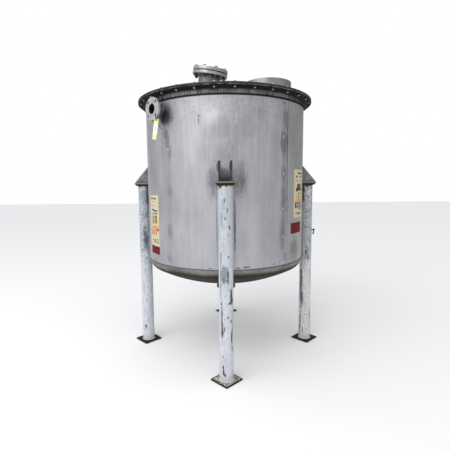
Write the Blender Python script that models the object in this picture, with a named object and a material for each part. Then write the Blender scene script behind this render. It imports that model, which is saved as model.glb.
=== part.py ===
"""Vertical stainless steel storage tank on four pipe legs.

The tank is an upright cylinder with a dished bottom and a flat bolted lid. Four side lugs carry it on
painted pipe legs. The origin is on the floor under the tank's axis, +Z is up, and the front leg is
towards -Y. An azimuth is measured around +Z from the front leg, and is positive towards +X.
"""

import math

import bmesh
import bpy
from mathutils import Matrix, Vector

# Joining clearance between pieces that touch
GAP = 0.0003

# Tank body
SHELL_RADIUS = 0.762
SHELL_WALL = 0.005
SHELL_PANELS = 7
PANEL_FACETS = 14
SEAM_AZIMUTH = math.radians(44.5)
HEAD_SEAM_Z = 0.908
ROUND_FACETS = SHELL_PANELS * PANEL_FACETS

# Dished bottom: crown radius equal to the tank's diameter, knuckle 6 % of it
HEAD_CROWN_RADIUS = 2 * SHELL_RADIUS
HEAD_KNUCKLE_RADIUS = 0.06 * 2 * SHELL_RADIUS
HEAD_WALL = 0.006
HEAD_KNUCKLE_FACETS = 4
HEAD_CROWN_FACETS = 6

# Bolted rim: lid, gasket and rolled angle ring, from the top down
LID_TOP_Z = 2.3925
LID_THICKNESS = 0.0115
RIM_RADIUS = 0.831
RIM_GASKET = 0.003
RING_LEG = 0.0085
RING_WALL = 0.0065
RING_BOTTOM_Z = 2.3185
RING_ROOT_RADIUS = 0.007
RING_ROOT_FACETS = 3
LID_BOTTOM_Z = LID_TOP_Z - LID_THICKNESS
RING_TOP_Z = LID_BOTTOM_Z - RIM_GASKET

# Open manway collar on the lid
MANWAY_CENTRE = (0.424, 0.020)
MANWAY_RADIUS = 0.2286
MANWAY_WALL = 0.0063
MANWAY_TOP_Z = 2.597
MANWAY_LIP = 0.002

# Angled nozzle on the lid, closed by a blind flange
ROOF_JOINT_CENTRE = Vector((-0.141, 0.060, 2.721))
ROOF_LEAN_RIGHT = math.radians(8.5)
ROOF_LEAN_FRONT = math.radians(7.8)
ROOF_FLANGE_RADIUS = 0.1715
ROOF_FLANGE_THICKNESS = 0.0310
ROOF_PIPE_RADIUS = 0.1095
ROOF_PIPE_WALL = 0.0064
ROOF_FACE_RADIUS = 0.1350
ROOF_FACE_HEIGHT = 0.0020
ROOF_GASKET = 0.0032

# Three-inch flanged branches: one on the side, one under the bottom
BRANCH_FLANGE_RADIUS = 0.09525
BRANCH_FLANGE_THICKNESS = 0.0239
BRANCH_FACE_RADIUS = 0.0635
BRANCH_FACE_HEIGHT = 0.0016
BRANCH_PIPE_RADIUS = 0.04445
BRANCH_PIPE_WALL = 0.0055
BRANCH_BOLT_CIRCLE = 0.0762
BRANCH_BOLT_HOLE = 0.0095
BRANCH_BOLTS = 4
SIDE_AZIMUTH = math.radians(-45.5)
SIDE_FACE_RADIUS = 0.848
SIDE_Z = 2.241
DRAIN_FACE_Z = 0.5585

# Legs, feet and lugs
LEG_COUNT = 4
LEG_CIRCLE = 0.8215
LEG_RADIUS = 0.0585
LEG_WALL = 0.0060
FOOT_HALF_DIAGONAL = 0.134
FOOT_THICKNESS = 0.012
LUG_PLATE_BOTTOM_Z = 1.624
LUG_PLATE_THICKNESS = 0.015
LUG_PLATE_HALF_WIDTH = 0.0775
LUG_PLATE_REACH = 0.900
CAP_THICKNESS = 0.0127
CAP_HALF_WIDTH = 0.0690
CAP_REACH = 0.8905
GUSSET_OFFSET = 0.048
GUSSET_THICKNESS = 0.010
GUSSET_TOP_Z = 1.806
GUSSET_REACH = 0.895
GUSSET_NOSE = 0.008
PIPE_FACETS = 40
FLANGE_FACETS = 56
HOLE_FACETS = 12
NOTCH_POINTS = 7

# Colours are linear: name: (colour, roughness, metallic)
FINISHES = {
    "brushed_stainless": ((0.46, 0.46, 0.49), 0.38, 1.0),
    "dull_stainless": ((0.30, 0.30, 0.31), 0.50, 1.0),
    "machined_stainless": ((0.60, 0.60, 0.60), 0.25, 1.0),
    "white_paint": ((0.72, 0.74, 0.76), 0.55, 0.0),
    "rusty_steel": ((0.045, 0.030, 0.022), 0.85, 0.3),
    "black_rubber": ((0.015, 0.015, 0.016), 0.80, 0.0),
}


def clear_scene():
    for old in list(bpy.data.objects):
        bpy.data.objects.remove(old, do_unlink=True)


def make_materials():
    made = {}
    for name, (colour, roughness, metallic) in FINISHES.items():
        material = bpy.data.materials.new(name)
        material.use_nodes = True
        shader = material.node_tree.nodes["Principled BSDF"]
        shader.inputs["Base Color"].default_value = (*colour, 1.0)
        shader.inputs["Roughness"].default_value = roughness
        shader.inputs["Metallic"].default_value = metallic
        material.diffuse_color = (*colour, 1.0)
        made[name] = material
    return made


def add_object(name, bm, finish):
    """An object of its own, under the tank's empty, from a finished bmesh."""
    mesh = bpy.data.meshes.new(name)
    bm.to_mesh(mesh)
    bm.free()
    obj = bpy.data.objects.new(name, mesh)
    bpy.context.scene.collection.objects.link(obj)
    obj.data.materials.append(MATERIALS[finish])
    obj.parent = TANK
    return obj


def shade(obj):
    obj.data.shade_smooth()
    obj.data.set_sharp_from_angle(angle=math.radians(35))
    return obj


def turned(name, profile, facets, finish, closed=True):
    """A profile of (radius, z) points turned about Z. It runs down the outer side, then up the inner."""
    bm = bmesh.new()
    ring = [bm.verts.new((r, 0.0, z)) for r, z in profile]
    for a, b in zip(ring, ring[1:]):
        bm.edges.new((a, b))
    if closed:
        bm.edges.new((ring[-1], ring[0]))
    obj = add_object(name, bm, finish)
    screw = obj.modifiers.new("turn", "SCREW")
    screw.angle = 2 * math.pi
    screw.steps = facets
    screw.render_steps = facets
    screw.use_merge_vertices = True
    screw.merge_threshold = 0.00001
    screw.use_smooth_shade = True
    return obj


def band(outer, inner, top, bottom):
    """The four corners of a ring's section."""
    return [(outer, top), (outer, bottom), (inner, bottom), (inner, top)]


def extruded(name, outline, bottom, top, finish):
    """A flat outline of (x, y) points, counter-clockwise from above, raised from bottom to top."""
    bm = bmesh.new()
    face = bm.faces.new([bm.verts.new((x, y, bottom)) for x, y in outline])
    face.normal_flip()
    raised = bmesh.ops.extrude_face_region(bm, geom=[face])["geom"]
    lifted = [item for item in raised if isinstance(item, bmesh.types.BMVert)]
    bmesh.ops.translate(bm, verts=lifted, vec=(0.0, 0.0, top - bottom))
    bmesh.ops.recalc_face_normals(bm, faces=bm.faces)
    return add_object(name, bm, finish)


def disc_outline(radius, facets, azimuth):
    """Points round a circle, counter-clockwise, the first of them at the azimuth."""
    points = []
    for i in range(facets):
        t = azimuth - math.pi / 2 + 2 * math.pi * i / facets
        points.append((radius * math.cos(t), radius * math.sin(t)))
    return points


def rods(name, centres, radius, length, facets):
    """Upright cutting rods, centred on z = 0."""
    bm = bmesh.new()
    for x, y in centres:
        bmesh.ops.create_cone(
            bm, cap_ends=True, segments=facets, radius1=radius, radius2=radius, depth=length,
            matrix=Matrix.Translation((x, y, 0.0)),
        )
    cutter = add_object(name, bm, "black_rubber")
    cutter.hide_render = True
    cutter.display_type = "WIRE"
    return cutter


def cut(obj, cutter):
    boolean = obj.modifiers.new("cut_" + cutter.name, "BOOLEAN")
    boolean.operation = "DIFFERENCE"
    boolean.object = cutter
    return obj


def at_azimuth(obj, azimuth, radius=0.0, z=0.0):
    """Turn an object drawn along +X so that its +X points out at the azimuth, and move it there."""
    obj.location = (radius * math.sin(azimuth), -radius * math.cos(azimuth), z)
    obj.rotation_euler = (0.0, 0.0, azimuth - math.pi / 2)
    return obj


def lean(obj, centre, direction):
    """Stand an object drawn along +Z on the centre, with its +Z along the direction."""
    turn = Vector((0.0, 0.0, 1.0)).rotation_difference(direction)
    obj.location = centre
    obj.rotation_mode = "QUATERNION"
    obj.rotation_quaternion = turn
    return obj


def make_shell():
    """The round wall in equal rolled panels, numbered from the visible weld seam."""
    sweep = 2 * math.pi / SHELL_PANELS
    joint = GAP / SHELL_RADIUS
    corners = band(SHELL_RADIUS, SHELL_RADIUS - SHELL_WALL, RING_TOP_Z, HEAD_SEAM_Z + GAP)
    panels = []
    for number in range(SHELL_PANELS):
        bm = bmesh.new()
        face = bm.faces.new([bm.verts.new((r, 0.0, z)) for r, z in corners])
        bmesh.ops.spin(
            bm, geom=[face, *face.edges, *face.verts], cent=(0.0, 0.0, 0.0), axis=(0.0, 0.0, 1.0),
            angle=sweep - joint, steps=PANEL_FACETS, use_duplicate=False,
        )
        bmesh.ops.recalc_face_normals(bm, faces=bm.faces)
        panel = add_object(f"shell_panel_{number + 1}", bm, "brushed_stainless")
        panels.append(shade(at_azimuth(panel, SEAM_AZIMUTH + number * sweep)))
    return panels


def head_profile(inset, bore):
    """Points of the dished bottom from its edge to the drain, inset inwards from the outside."""
    crown = HEAD_CROWN_RADIUS - inset
    knuckle = HEAD_KNUCKLE_RADIUS - inset
    knuckle_r = SHELL_RADIUS - HEAD_KNUCKLE_RADIUS
    reach = HEAD_CROWN_RADIUS - HEAD_KNUCKLE_RADIUS
    crown_z = HEAD_SEAM_Z + math.sqrt(reach**2 - knuckle_r**2)
    meet = math.asin(knuckle_r / reach)
    end = math.asin(bore / crown)
    points = []
    for i in range(HEAD_KNUCKLE_FACETS):
        t = math.pi / 2 + (meet - math.pi / 2) * i / HEAD_KNUCKLE_FACETS
        points.append((knuckle_r + knuckle * math.sin(t), HEAD_SEAM_Z - knuckle * math.cos(t)))
    for i in range(HEAD_CROWN_FACETS + 1):
        t = meet + (end - meet) * i / HEAD_CROWN_FACETS
        points.append((crown * math.sin(t), crown_z - crown * math.cos(t)))
    return points


def make_bottom_head():
    """One dished plate with the drain's hole in its middle."""
    bore = BRANCH_PIPE_RADIUS - BRANCH_PIPE_WALL
    outside = head_profile(0.0, bore)
    inside = head_profile(HEAD_WALL, bore)
    head = turned("bottom_head", outside + inside[::-1], ROUND_FACETS, "brushed_stainless")
    at_azimuth(head, SEAM_AZIMUTH)
    return outside[-1][1]


def make_rim():
    """The rolled angle ring lapped round the shell's top, and the gasket that the lid sits on."""
    ring_wall_outside = SHELL_RADIUS + GAP + RING_WALL
    under = RING_TOP_Z - RING_LEG
    root = []
    for i in range(RING_ROOT_FACETS + 1):
        t = math.pi / 2 * i / RING_ROOT_FACETS
        root.append((
            ring_wall_outside + RING_ROOT_RADIUS * (1 - math.sin(t)),
            under - RING_ROOT_RADIUS * (1 - math.cos(t)),
        ))
    profile = [(RIM_RADIUS, RING_TOP_Z), (RIM_RADIUS, under), *root]
    profile += [(ring_wall_outside, RING_BOTTOM_Z), (SHELL_RADIUS + GAP, RING_BOTTOM_Z)]
    profile += [(SHELL_RADIUS + GAP, RING_TOP_Z)]
    at_azimuth(turned("rim_ring", profile, ROUND_FACETS, "dull_stainless"), SEAM_AZIMUTH)
    seal = band(RIM_RADIUS - 0.003, SHELL_RADIUS - SHELL_WALL, LID_BOTTOM_Z - GAP, RING_TOP_Z + GAP)
    at_azimuth(turned("rim_gasket", seal, ROUND_FACETS, "black_rubber"), SEAM_AZIMUTH)


def roof_axis():
    """The angled nozzle's direction, up and out of the lid."""
    return Vector((math.tan(ROOF_LEAN_RIGHT), -math.tan(ROOF_LEAN_FRONT), 1.0)).normalized()


def make_lid():
    """A flat round plate with one hole under the manway and one under the angled nozzle."""
    outline = disc_outline(RIM_RADIUS, ROUND_FACETS, SEAM_AZIMUTH)
    lid = extruded("lid", outline, LID_BOTTOM_Z, LID_TOP_Z, "dull_stainless")
    depth = 4 * LID_THICKNESS
    hatch = rods("lid_manway_cutter", [MANWAY_CENTRE], MANWAY_RADIUS - MANWAY_WALL, depth, PIPE_FACETS)
    hatch.location = (0.0, 0.0, LID_TOP_Z)
    bore = rods("lid_nozzle_cutter", [(0.0, 0.0)], ROOF_PIPE_RADIUS - ROOF_PIPE_WALL, 1.0, PIPE_FACETS)
    lean(bore, ROOF_JOINT_CENTRE, roof_axis())
    cut(lid, hatch)
    cut(lid, bore)


def make_manway():
    """A short open collar, welded upright on the lid, its top edge eased."""
    inner = MANWAY_RADIUS - MANWAY_WALL
    profile = [
        (MANWAY_RADIUS - MANWAY_LIP, MANWAY_TOP_Z),
        (MANWAY_RADIUS, MANWAY_TOP_Z - MANWAY_LIP),
        (MANWAY_RADIUS, LID_TOP_Z + GAP),
        (inner, LID_TOP_Z + GAP),
        (inner, MANWAY_TOP_Z - MANWAY_LIP),
        (inner + MANWAY_LIP, MANWAY_TOP_Z),
    ]
    collar = turned("manway_collar", profile, PIPE_FACETS + 24, "brushed_stainless")
    collar.location = (*MANWAY_CENTRE, 0.0)


def flange_profile(radius, thickness, face_radius, face_height, bore):
    """A flange's section: its raised face is at z = 0 and its back at -(thickness + face height)."""
    back = -(thickness + face_height)
    return [
        (face_radius, 0.0), (face_radius, -face_height), (radius, -face_height), (radius, back),
        (bore, back), (bore, 0.0),
    ]


def make_roof_nozzle():
    """Neck, slip-on flange, gasket and blind flange, all on one axis that leans in over the tank."""
    axis = roof_axis()
    below = ROOF_JOINT_CENTRE - axis * (ROOF_GASKET / 2)
    above = ROOF_JOINT_CENTRE + axis * (ROOF_GASKET / 2)

    neck_length = ROOF_JOINT_CENTRE.z - LID_BOTTOM_Z + ROOF_PIPE_RADIUS
    neck = turned(
        "roof_neck",
        band(ROOF_PIPE_RADIUS, ROOF_PIPE_RADIUS - ROOF_PIPE_WALL, -ROOF_FACE_HEIGHT, -neck_length),
        PIPE_FACETS, "dull_stainless",
    )
    lean(neck, below, axis)
    block = rods("roof_neck_cutter", [(0.0, 0.0)], 1.0, 1.0, 4)
    block.location = (ROOF_JOINT_CENTRE.x, ROOF_JOINT_CENTRE.y, LID_TOP_Z + GAP - 0.5)
    cut(neck, block)

    section = flange_profile(
        ROOF_FLANGE_RADIUS, ROOF_FLANGE_THICKNESS, ROOF_FACE_RADIUS, ROOF_FACE_HEIGHT,
        ROOF_PIPE_RADIUS + GAP,
    )
    lean(turned("roof_flange", section, FLANGE_FACETS, "machined_stainless"), below, axis)

    half = ROOF_GASKET / 2 - GAP
    seal = turned(
        "roof_gasket", band(ROOF_FACE_RADIUS, ROOF_PIPE_RADIUS, half, -half), FLANGE_FACETS,
        "black_rubber",
    )
    lean(seal, ROOF_JOINT_CENTRE, axis)

    top = ROOF_FLANGE_THICKNESS + ROOF_FACE_HEIGHT
    blind = turned(
        "blind_flange",
        [
            (0.0, top), (ROOF_FLANGE_RADIUS, top), (ROOF_FLANGE_RADIUS, ROOF_FACE_HEIGHT),
            (ROOF_FACE_RADIUS, ROOF_FACE_HEIGHT), (ROOF_FACE_RADIUS, 0.0), (0.0, 0.0),
        ],
        FLANGE_FACETS, "machined_stainless", closed=False,
    )
    lean(blind, above, axis)


def branch_flange(name):
    """A slip-on flange with four bolt holes that straddle its centre lines."""
    section = flange_profile(
        BRANCH_FLANGE_RADIUS, BRANCH_FLANGE_THICKNESS, BRANCH_FACE_RADIUS, BRANCH_FACE_HEIGHT,
        BRANCH_PIPE_RADIUS + GAP,
    )
    flange = turned(name, section, FLANGE_FACETS, "machined_stainless")
    centres = []
    for i in range(BRANCH_BOLTS):
        t = 2 * math.pi * (i + 0.5) / BRANCH_BOLTS
        centres.append((BRANCH_BOLT_CIRCLE * math.cos(t), BRANCH_BOLT_CIRCLE * math.sin(t)))
    holes = rods(name + "_cutter", centres, BRANCH_BOLT_HOLE, 0.2, HOLE_FACETS)
    cut(flange, holes)
    return flange, holes


def branch_neck(name, top, bottom):
    """The pipe of a branch, between two heights on its own axis, measured from the flange's face."""
    inner = BRANCH_PIPE_RADIUS - BRANCH_PIPE_WALL
    return turned(name, band(BRANCH_PIPE_RADIUS, inner, top, bottom), PIPE_FACETS, "dull_stainless")


def make_side_nozzle(panels):
    """The level branch near the top of the wall, with its bore cut through the wall behind it."""
    out = Vector((math.sin(SIDE_AZIMUTH), -math.cos(SIDE_AZIMUTH), 0.0))
    face = out * SIDE_FACE_RADIUS + Vector((0.0, 0.0, SIDE_Z))
    flange, holes = branch_flange("side_flange")
    # The bolt holes straddle the vertical, so the flange is turned upright about its own axis
    upright = Matrix((Vector((0, 0, 1)).cross(out), Vector((0, 0, 1)), out)).transposed()
    for obj in (flange, holes):
        obj.location = face
        obj.rotation_euler = upright.to_euler()

    neck = branch_neck("side_neck", -BRANCH_FACE_HEIGHT, SHELL_RADIUS / 2 - SIDE_FACE_RADIUS)
    lean(neck, face, out)
    wall = rods("side_neck_cutter", [(0.0, 0.0)], SHELL_RADIUS + GAP, 0.4, 3 * ROUND_FACETS)
    wall.location = (0.0, 0.0, SIDE_Z)
    cut(neck, wall)

    bore = rods("shell_bore_cutter", [(0.0, 0.0)], BRANCH_PIPE_RADIUS - BRANCH_PIPE_WALL, 0.2, PIPE_FACETS)
    lean(bore, out * SHELL_RADIUS + Vector((0.0, 0.0, SIDE_Z)), out)
    sweep = 2 * math.pi / SHELL_PANELS
    behind = int(((SIDE_AZIMUTH - SEAM_AZIMUTH) % (2 * math.pi)) // sweep)
    cut(panels[behind], bore)


def make_drain(head_bottom):
    """The branch under the middle of the dished bottom, its flange facing down."""
    flange, holes = branch_flange("drain_flange")
    for obj in (flange, holes):
        obj.location = (0.0, 0.0, DRAIN_FACE_Z)
        obj.rotation_euler = (math.pi, 0.0, 0.0)
    length = head_bottom - GAP - DRAIN_FACE_Z
    neck = branch_neck("drain_neck", -BRANCH_FACE_HEIGHT, -length)
    neck.location = (0.0, 0.0, DRAIN_FACE_Z)
    neck.rotation_euler = (math.pi, 0.0, 0.0)


def notched_plate(name, azimuth, half_width, reach, bottom, top, finish):
    """A plate that stands out from the wall, its inner edge cut to the wall's curve."""
    seat = SHELL_RADIUS + GAP
    outline = [(reach, -half_width), (reach, half_width)]
    for i in range(NOTCH_POINTS):
        y = half_width * (1 - 2 * i / (NOTCH_POINTS - 1))
        outline.append((math.sqrt(seat**2 - y**2), y))
    return at_azimuth(extruded(name, outline, bottom, top, finish), azimuth)


def make_gusset(name, azimuth, side):
    """One upright triangle over a lug's plate, from the wall out to the plate's edge."""
    near = abs(GUSSET_OFFSET) - GUSSET_THICKNESS / 2
    wall = math.sqrt((SHELL_RADIUS + GAP) ** 2 - near**2)
    foot = LUG_PLATE_BOTTOM_Z + LUG_PLATE_THICKNESS + GAP
    bm = bmesh.new()
    corners = [(wall, foot), (GUSSET_REACH, foot), (GUSSET_REACH, foot + GUSSET_NOSE), (wall, GUSSET_TOP_Z)]
    start = side * GUSSET_OFFSET - GUSSET_THICKNESS / 2
    face = bm.faces.new([bm.verts.new((x, start, z)) for x, z in corners])
    raised = bmesh.ops.extrude_face_region(bm, geom=[face])["geom"]
    moved = [item for item in raised if isinstance(item, bmesh.types.BMVert)]
    bmesh.ops.translate(bm, verts=moved, vec=(0.0, GUSSET_THICKNESS, 0.0))
    bmesh.ops.recalc_face_normals(bm, faces=bm.faces)
    at_azimuth(add_object(name, bm, "dull_stainless"), azimuth)


def make_leg(number, azimuth):
    """A pipe leg between its foot plate and its cap plate, under the lug that it carries."""
    cap_top = LUG_PLATE_BOTTOM_Z - GAP
    cap_bottom = cap_top - CAP_THICKNESS
    pipe = band(LEG_RADIUS, LEG_RADIUS - LEG_WALL, cap_bottom - GAP, FOOT_THICKNESS + GAP)
    leg = turned(f"leg_{number}", pipe, PIPE_FACETS, "white_paint")
    at_azimuth(leg, azimuth, LEG_CIRCLE)

    corners = [(FOOT_HALF_DIAGONAL, 0.0), (0.0, FOOT_HALF_DIAGONAL)]
    corners += [(-x, -y) for x, y in corners]
    foot = extruded(f"foot_plate_{number}", corners, 0.0, FOOT_THICKNESS, "rusty_steel")
    at_azimuth(foot, azimuth, LEG_CIRCLE)

    notched_plate(
        f"leg_cap_{number}", azimuth, CAP_HALF_WIDTH, CAP_REACH, cap_bottom, cap_top, "rusty_steel"
    )
    notched_plate(
        f"lug_plate_{number}", azimuth, LUG_PLATE_HALF_WIDTH, LUG_PLATE_REACH, LUG_PLATE_BOTTOM_Z,
        LUG_PLATE_BOTTOM_Z + LUG_PLATE_THICKNESS, "dull_stainless",
    )
    for side, hand in ((-1, "a"), (1, "b")):
        make_gusset(f"lug_gusset_{number}{hand}", azimuth, side)


clear_scene()
MATERIALS = make_materials()
TANK = bpy.data.objects.new("tank", None)
bpy.context.scene.collection.objects.link(TANK)

shell_panels = make_shell()
drain_top = make_bottom_head()
make_rim()
make_lid()
make_manway()
make_roof_nozzle()
make_side_nozzle(shell_panels)
make_drain(drain_top)
for index in range(LEG_COUNT):
    make_leg(index + 1, index * 2 * math.pi / LEG_COUNT)
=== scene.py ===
"""Looks of a vertical stainless steel storage tank on four painted pipe legs.

The tank stands on the floor with +Z up and its front leg towards -Y. An azimuth goes round +Z from the
front leg, positive towards +X. Lengths are in metres. An angle is in radians, or in degrees where its name
or a comment says so.
"""

import math

import bmesh
import bpy
import numpy as np
from mathutils import Matrix, Vector


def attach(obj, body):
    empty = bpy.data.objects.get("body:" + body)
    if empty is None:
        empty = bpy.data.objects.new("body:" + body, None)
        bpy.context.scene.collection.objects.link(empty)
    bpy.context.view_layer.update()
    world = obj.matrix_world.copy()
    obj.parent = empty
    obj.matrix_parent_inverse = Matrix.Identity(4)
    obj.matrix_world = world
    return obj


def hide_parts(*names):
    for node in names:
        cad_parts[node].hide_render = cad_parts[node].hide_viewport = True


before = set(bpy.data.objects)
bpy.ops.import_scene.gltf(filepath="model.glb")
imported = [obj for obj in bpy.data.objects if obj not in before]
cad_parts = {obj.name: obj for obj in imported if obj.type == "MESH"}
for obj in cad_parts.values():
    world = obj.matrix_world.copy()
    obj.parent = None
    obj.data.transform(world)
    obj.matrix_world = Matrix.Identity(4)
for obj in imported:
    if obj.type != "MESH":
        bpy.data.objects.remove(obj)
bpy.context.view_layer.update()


# Camera
# It stands straight in front of the front leg at eye height, and looks a little down.
CAMERA_PLACE = (0.0, -3.6087, 1.6043)
CAMERA_YAW = -0.0018
CAMERA_PITCH = 0.1100
CAMERA_ROLL = -0.0079
FOCAL_LENGTH_PIXELS = 354.535
FRAME_PIXELS = 450
SENSOR_MM = 36.0

camera = bpy.data.cameras.new("camera")
camera.sensor_fit = "HORIZONTAL"
camera.sensor_width = SENSOR_MM
camera.lens = SENSOR_MM * FOCAL_LENGTH_PIXELS / FRAME_PIXELS
ahead = Vector((
    math.sin(CAMERA_YAW) * math.cos(CAMERA_PITCH),
    math.cos(CAMERA_YAW) * math.cos(CAMERA_PITCH),
    -math.sin(CAMERA_PITCH),
))
level = Vector((math.cos(CAMERA_YAW), -math.sin(CAMERA_YAW), 0.0))
upright = level.cross(ahead)
right = level * math.cos(CAMERA_ROLL) + upright * math.sin(CAMERA_ROLL)
above = upright * math.cos(CAMERA_ROLL) - level * math.sin(CAMERA_ROLL)
camera_object = bpy.data.objects.new("camera", camera)
camera_turn = Matrix((right, above, -ahead)).transposed().to_4x4()
camera_object.matrix_world = Matrix.Translation(CAMERA_PLACE) @ camera_turn
bpy.context.scene.collection.objects.link(camera_object)
bpy.context.scene.camera = camera_object


# Floor and light
# A plain white floor under a soft overcast sky, brighter in front on the left than behind, with one large
# soft lamp up on the left for the shadows under the feet.
FLOOR_HALF_WIDTH = 30.0
FLOOR_COLOUR = (0.97, 0.97, 0.97)
BACKGROUND = (1.0, 1.0, 1.0)
SKY_DIM = (0.42, 0.43, 0.45)
SKY_BRIGHT = (1.12, 1.12, 1.14)
SKY_TOWARDS = (-0.40, -0.80, 0.45)
SKY_FADE = (-0.75, 1.0)
LAMP_PLACE = (-3.2, -4.2, 5.6)
LAMP_AIM = (0.0, 0.0, 1.2)
LAMP_SIZE = 6.0
LAMP_WATTS = 200.0


def node(tree, kind, values=None, **settings):
    """A shader node with its settings, and its inputs given a number, a colour or another node's output."""
    made = tree.nodes.new("ShaderNode" + kind)
    for name, value in settings.items():
        setattr(made, name, value)
    for key, value in (values or {}).items():
        socket = made.inputs[key]
        if isinstance(value, bpy.types.NodeSocket):
            tree.links.new(value, socket)
        elif socket.type == "RGBA" and len(value) == 3:
            socket.default_value = (*value, 1.0)
        else:
            socket.default_value = value
    return made


def maths(tree, operation, a, b=0.0, clamp=False):
    """A sum, product or other step with one or two values, each a number or another node's output."""
    return node(tree, "Math", {0: a, 1: b}, operation=operation, use_clamp=clamp).outputs[0]


def vectors(tree, operation, a, b=(0.0, 0.0, 0.0)):
    """The same for vectors. A length and a dot product give a number."""
    made = node(tree, "VectorMath", {0: a, 1: b}, operation=operation)
    return made.outputs["Value" if operation in ("LENGTH", "DOT_PRODUCT") else "Vector"]


def blend(tree, mask, under, over, how="MIX"):
    """The colour under, covered by the colour over where the mask is 1."""
    return node(tree, "Mix", {0: mask, 6: under, 7: over}, data_type="RGBA", blend_type=how).outputs[2]


def between(tree, value, start, end, low=0.0, high=1.0):
    """A smooth step: low where the value is at start, high where it is at end."""
    values = {"Value": value, "From Min": start, "From Max": end, "To Min": low, "To Max": high}
    return node(tree, "MapRange", values, interpolation_type="SMOOTHSTEP").outputs[0]


def plain_material(name, colour, roughness, metallic=0.0):
    """A material with one Principled shader, ready for its pattern."""
    material = bpy.data.materials.new(name)
    material.use_nodes = True
    shader = material.node_tree.nodes["Principled BSDF"]
    shader.inputs["Base Color"].default_value = (*colour, 1.0)
    shader.inputs["Roughness"].default_value = roughness
    shader.inputs["Metallic"].default_value = metallic
    material.diffuse_color = (*colour, 1.0)
    return material, material.node_tree, shader


floor_mesh = bpy.data.meshes.new("floor")
corners = FLOOR_HALF_WIDTH * np.array([(-1, -1, 0), (1, -1, 0), (1, 1, 0), (-1, 1, 0)], float)
floor_mesh.from_pydata(corners.tolist(), [], [(0, 1, 2, 3)])
floor_mesh.materials.append(plain_material("floor", FLOOR_COLOUR, 0.9)[0])
floor = bpy.data.objects.new("floor", floor_mesh)
bpy.context.scene.collection.objects.link(floor)

world = bpy.data.worlds.new("sky")
world.use_nodes = True
sky = world.node_tree
sky.nodes.clear()
direction = node(sky, "TexCoord").outputs["Generated"]
facing = vectors(sky, "DOT_PRODUCT", direction, Vector(SKY_TOWARDS).normalized())
glow = between(sky, facing, *SKY_FADE)
lit = node(sky, "Background", {"Color": blend(sky, glow, SKY_DIM, SKY_BRIGHT)})
seen = node(sky, "Background", {"Color": BACKGROUND})
from_camera = node(sky, "LightPath").outputs["Is Camera Ray"]
either = node(sky, "MixShader", {0: from_camera, 1: lit.outputs[0], 2: seen.outputs[0]})
node(sky, "OutputWorld", {"Surface": either.outputs[0]})
bpy.context.scene.world = world

lamp = bpy.data.lights.new("lamp", "AREA")
lamp.energy = LAMP_WATTS
lamp.size = LAMP_SIZE
lamp_object = bpy.data.objects.new("lamp", lamp)
lamp_ray = Vector(LAMP_AIM) - Vector(LAMP_PLACE)
lamp_turn = lamp_ray.to_track_quat("-Z", "Y").to_matrix().to_4x4()
lamp_object.matrix_world = Matrix.Translation(LAMP_PLACE) @ lamp_turn
bpy.context.scene.collection.objects.link(lamp_object)
bpy.context.scene.view_settings.view_transform = "Standard"


# Round wall
# Stainless plate rolled into a cylinder, welded edge to edge, then ground and brushed up and down. It is
# open at the top and the bottom, and has one round hole for the side branch.
WALL_RADIUS = 0.762
WALL_THICKNESS = 0.005
WALL_TOP = 2.378
WALL_BOTTOM = 0.9083
WALL_COLUMNS = 360
WALL_ROWS = 44
WALL_WAVE = 0.0007
WAVE_FADE = 0.12
SEAM_DEGREES = 44.5
SEAM_AZIMUTH = math.radians(SEAM_DEGREES)
SIDE_AZIMUTH = math.radians(-45.5)
SIDE_HEIGHT = 2.241
BRANCH_BORE = 0.03895
HOLE_REACH = 0.070
HOLE_LINES = 24

# The slow waves of the wall: size, how many times round it, change in radians per metre up, start
WALL_WAVES = (
    (1.0, 3, 2.1, 0.4),
    (0.7, 7, -3.3, 0.0),
    (0.5, 13, 5.2, 1.9),
)


def quads(rows, columns, first=0):
    """The four-sided faces between neighbouring points of a grid that is numbered row by row."""
    index = first + np.arange(rows * columns).reshape(rows, columns)
    return np.stack([index[:-1, :-1], index[1:, :-1], index[1:, 1:], index[:-1, 1:]], -1)


def piece(name, patches, material, nodes=(), sharp_degrees=35.0):
    """One closed body from grids of points that meet along their edges.

    A patch is a grid of points, or a pair of a grid and a mask of the faces to leave out. Points that
    coincide are joined, so a grid closes on itself and poles close to a point. Normals then turn outwards.
    """
    points = []
    faces = []
    first = 0
    for patch in patches:
        grid, dropped = patch if isinstance(patch, tuple) else (patch, None)
        rows, columns = grid.shape[:2]
        cells = quads(rows, columns, first)
        faces.append(cells[~dropped] if dropped is not None else cells.reshape(-1, 4))
        points.append(grid.reshape(-1, 3))
        first += rows * columns
    mesh = bpy.data.meshes.new(name)
    mesh.from_pydata(np.concatenate(points).tolist(), [], np.concatenate(faces).tolist())
    bm = bmesh.new()
    bm.from_mesh(mesh)
    bmesh.ops.remove_doubles(bm, verts=bm.verts, dist=1e-6)
    loose = [vertex for vertex in bm.verts if not vertex.link_faces]
    bmesh.ops.delete(bm, geom=loose, context="VERTS")
    bmesh.ops.recalc_face_normals(bm, faces=bm.faces)
    bm.to_mesh(mesh)
    bm.free()
    mesh.shade_smooth()
    mesh.set_sharp_from_angle(angle=math.radians(sharp_degrees))
    mesh.materials.append(material)
    made = bpy.data.objects.new(name, mesh)
    bpy.context.scene.collection.objects.link(made)
    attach(made, "root")
    if nodes:
        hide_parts(*nodes)
    return made


def on_circle(radius, azimuth, height):
    """Points at a radius and height round +Z: (r sin a, -r cos a, z)."""
    radius, azimuth, height = np.broadcast_arrays(radius, azimuth, height)
    return np.stack([radius * np.sin(azimuth), -radius * np.cos(azimuth), height], -1)


def hole_lines(low, high, count, centre, reach):
    """Grid lines from low to high, about `count` of them, with HOLE_LINES even steps across the hole."""
    inner = centre + np.linspace(-reach, reach, HOLE_LINES + 1)
    coarse = np.linspace(low, high, count + 1)
    return np.concatenate([coarse[coarse < inner[0] - 1e-6], inner, coarse[coarse > inner[-1] + 1e-6]])


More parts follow.
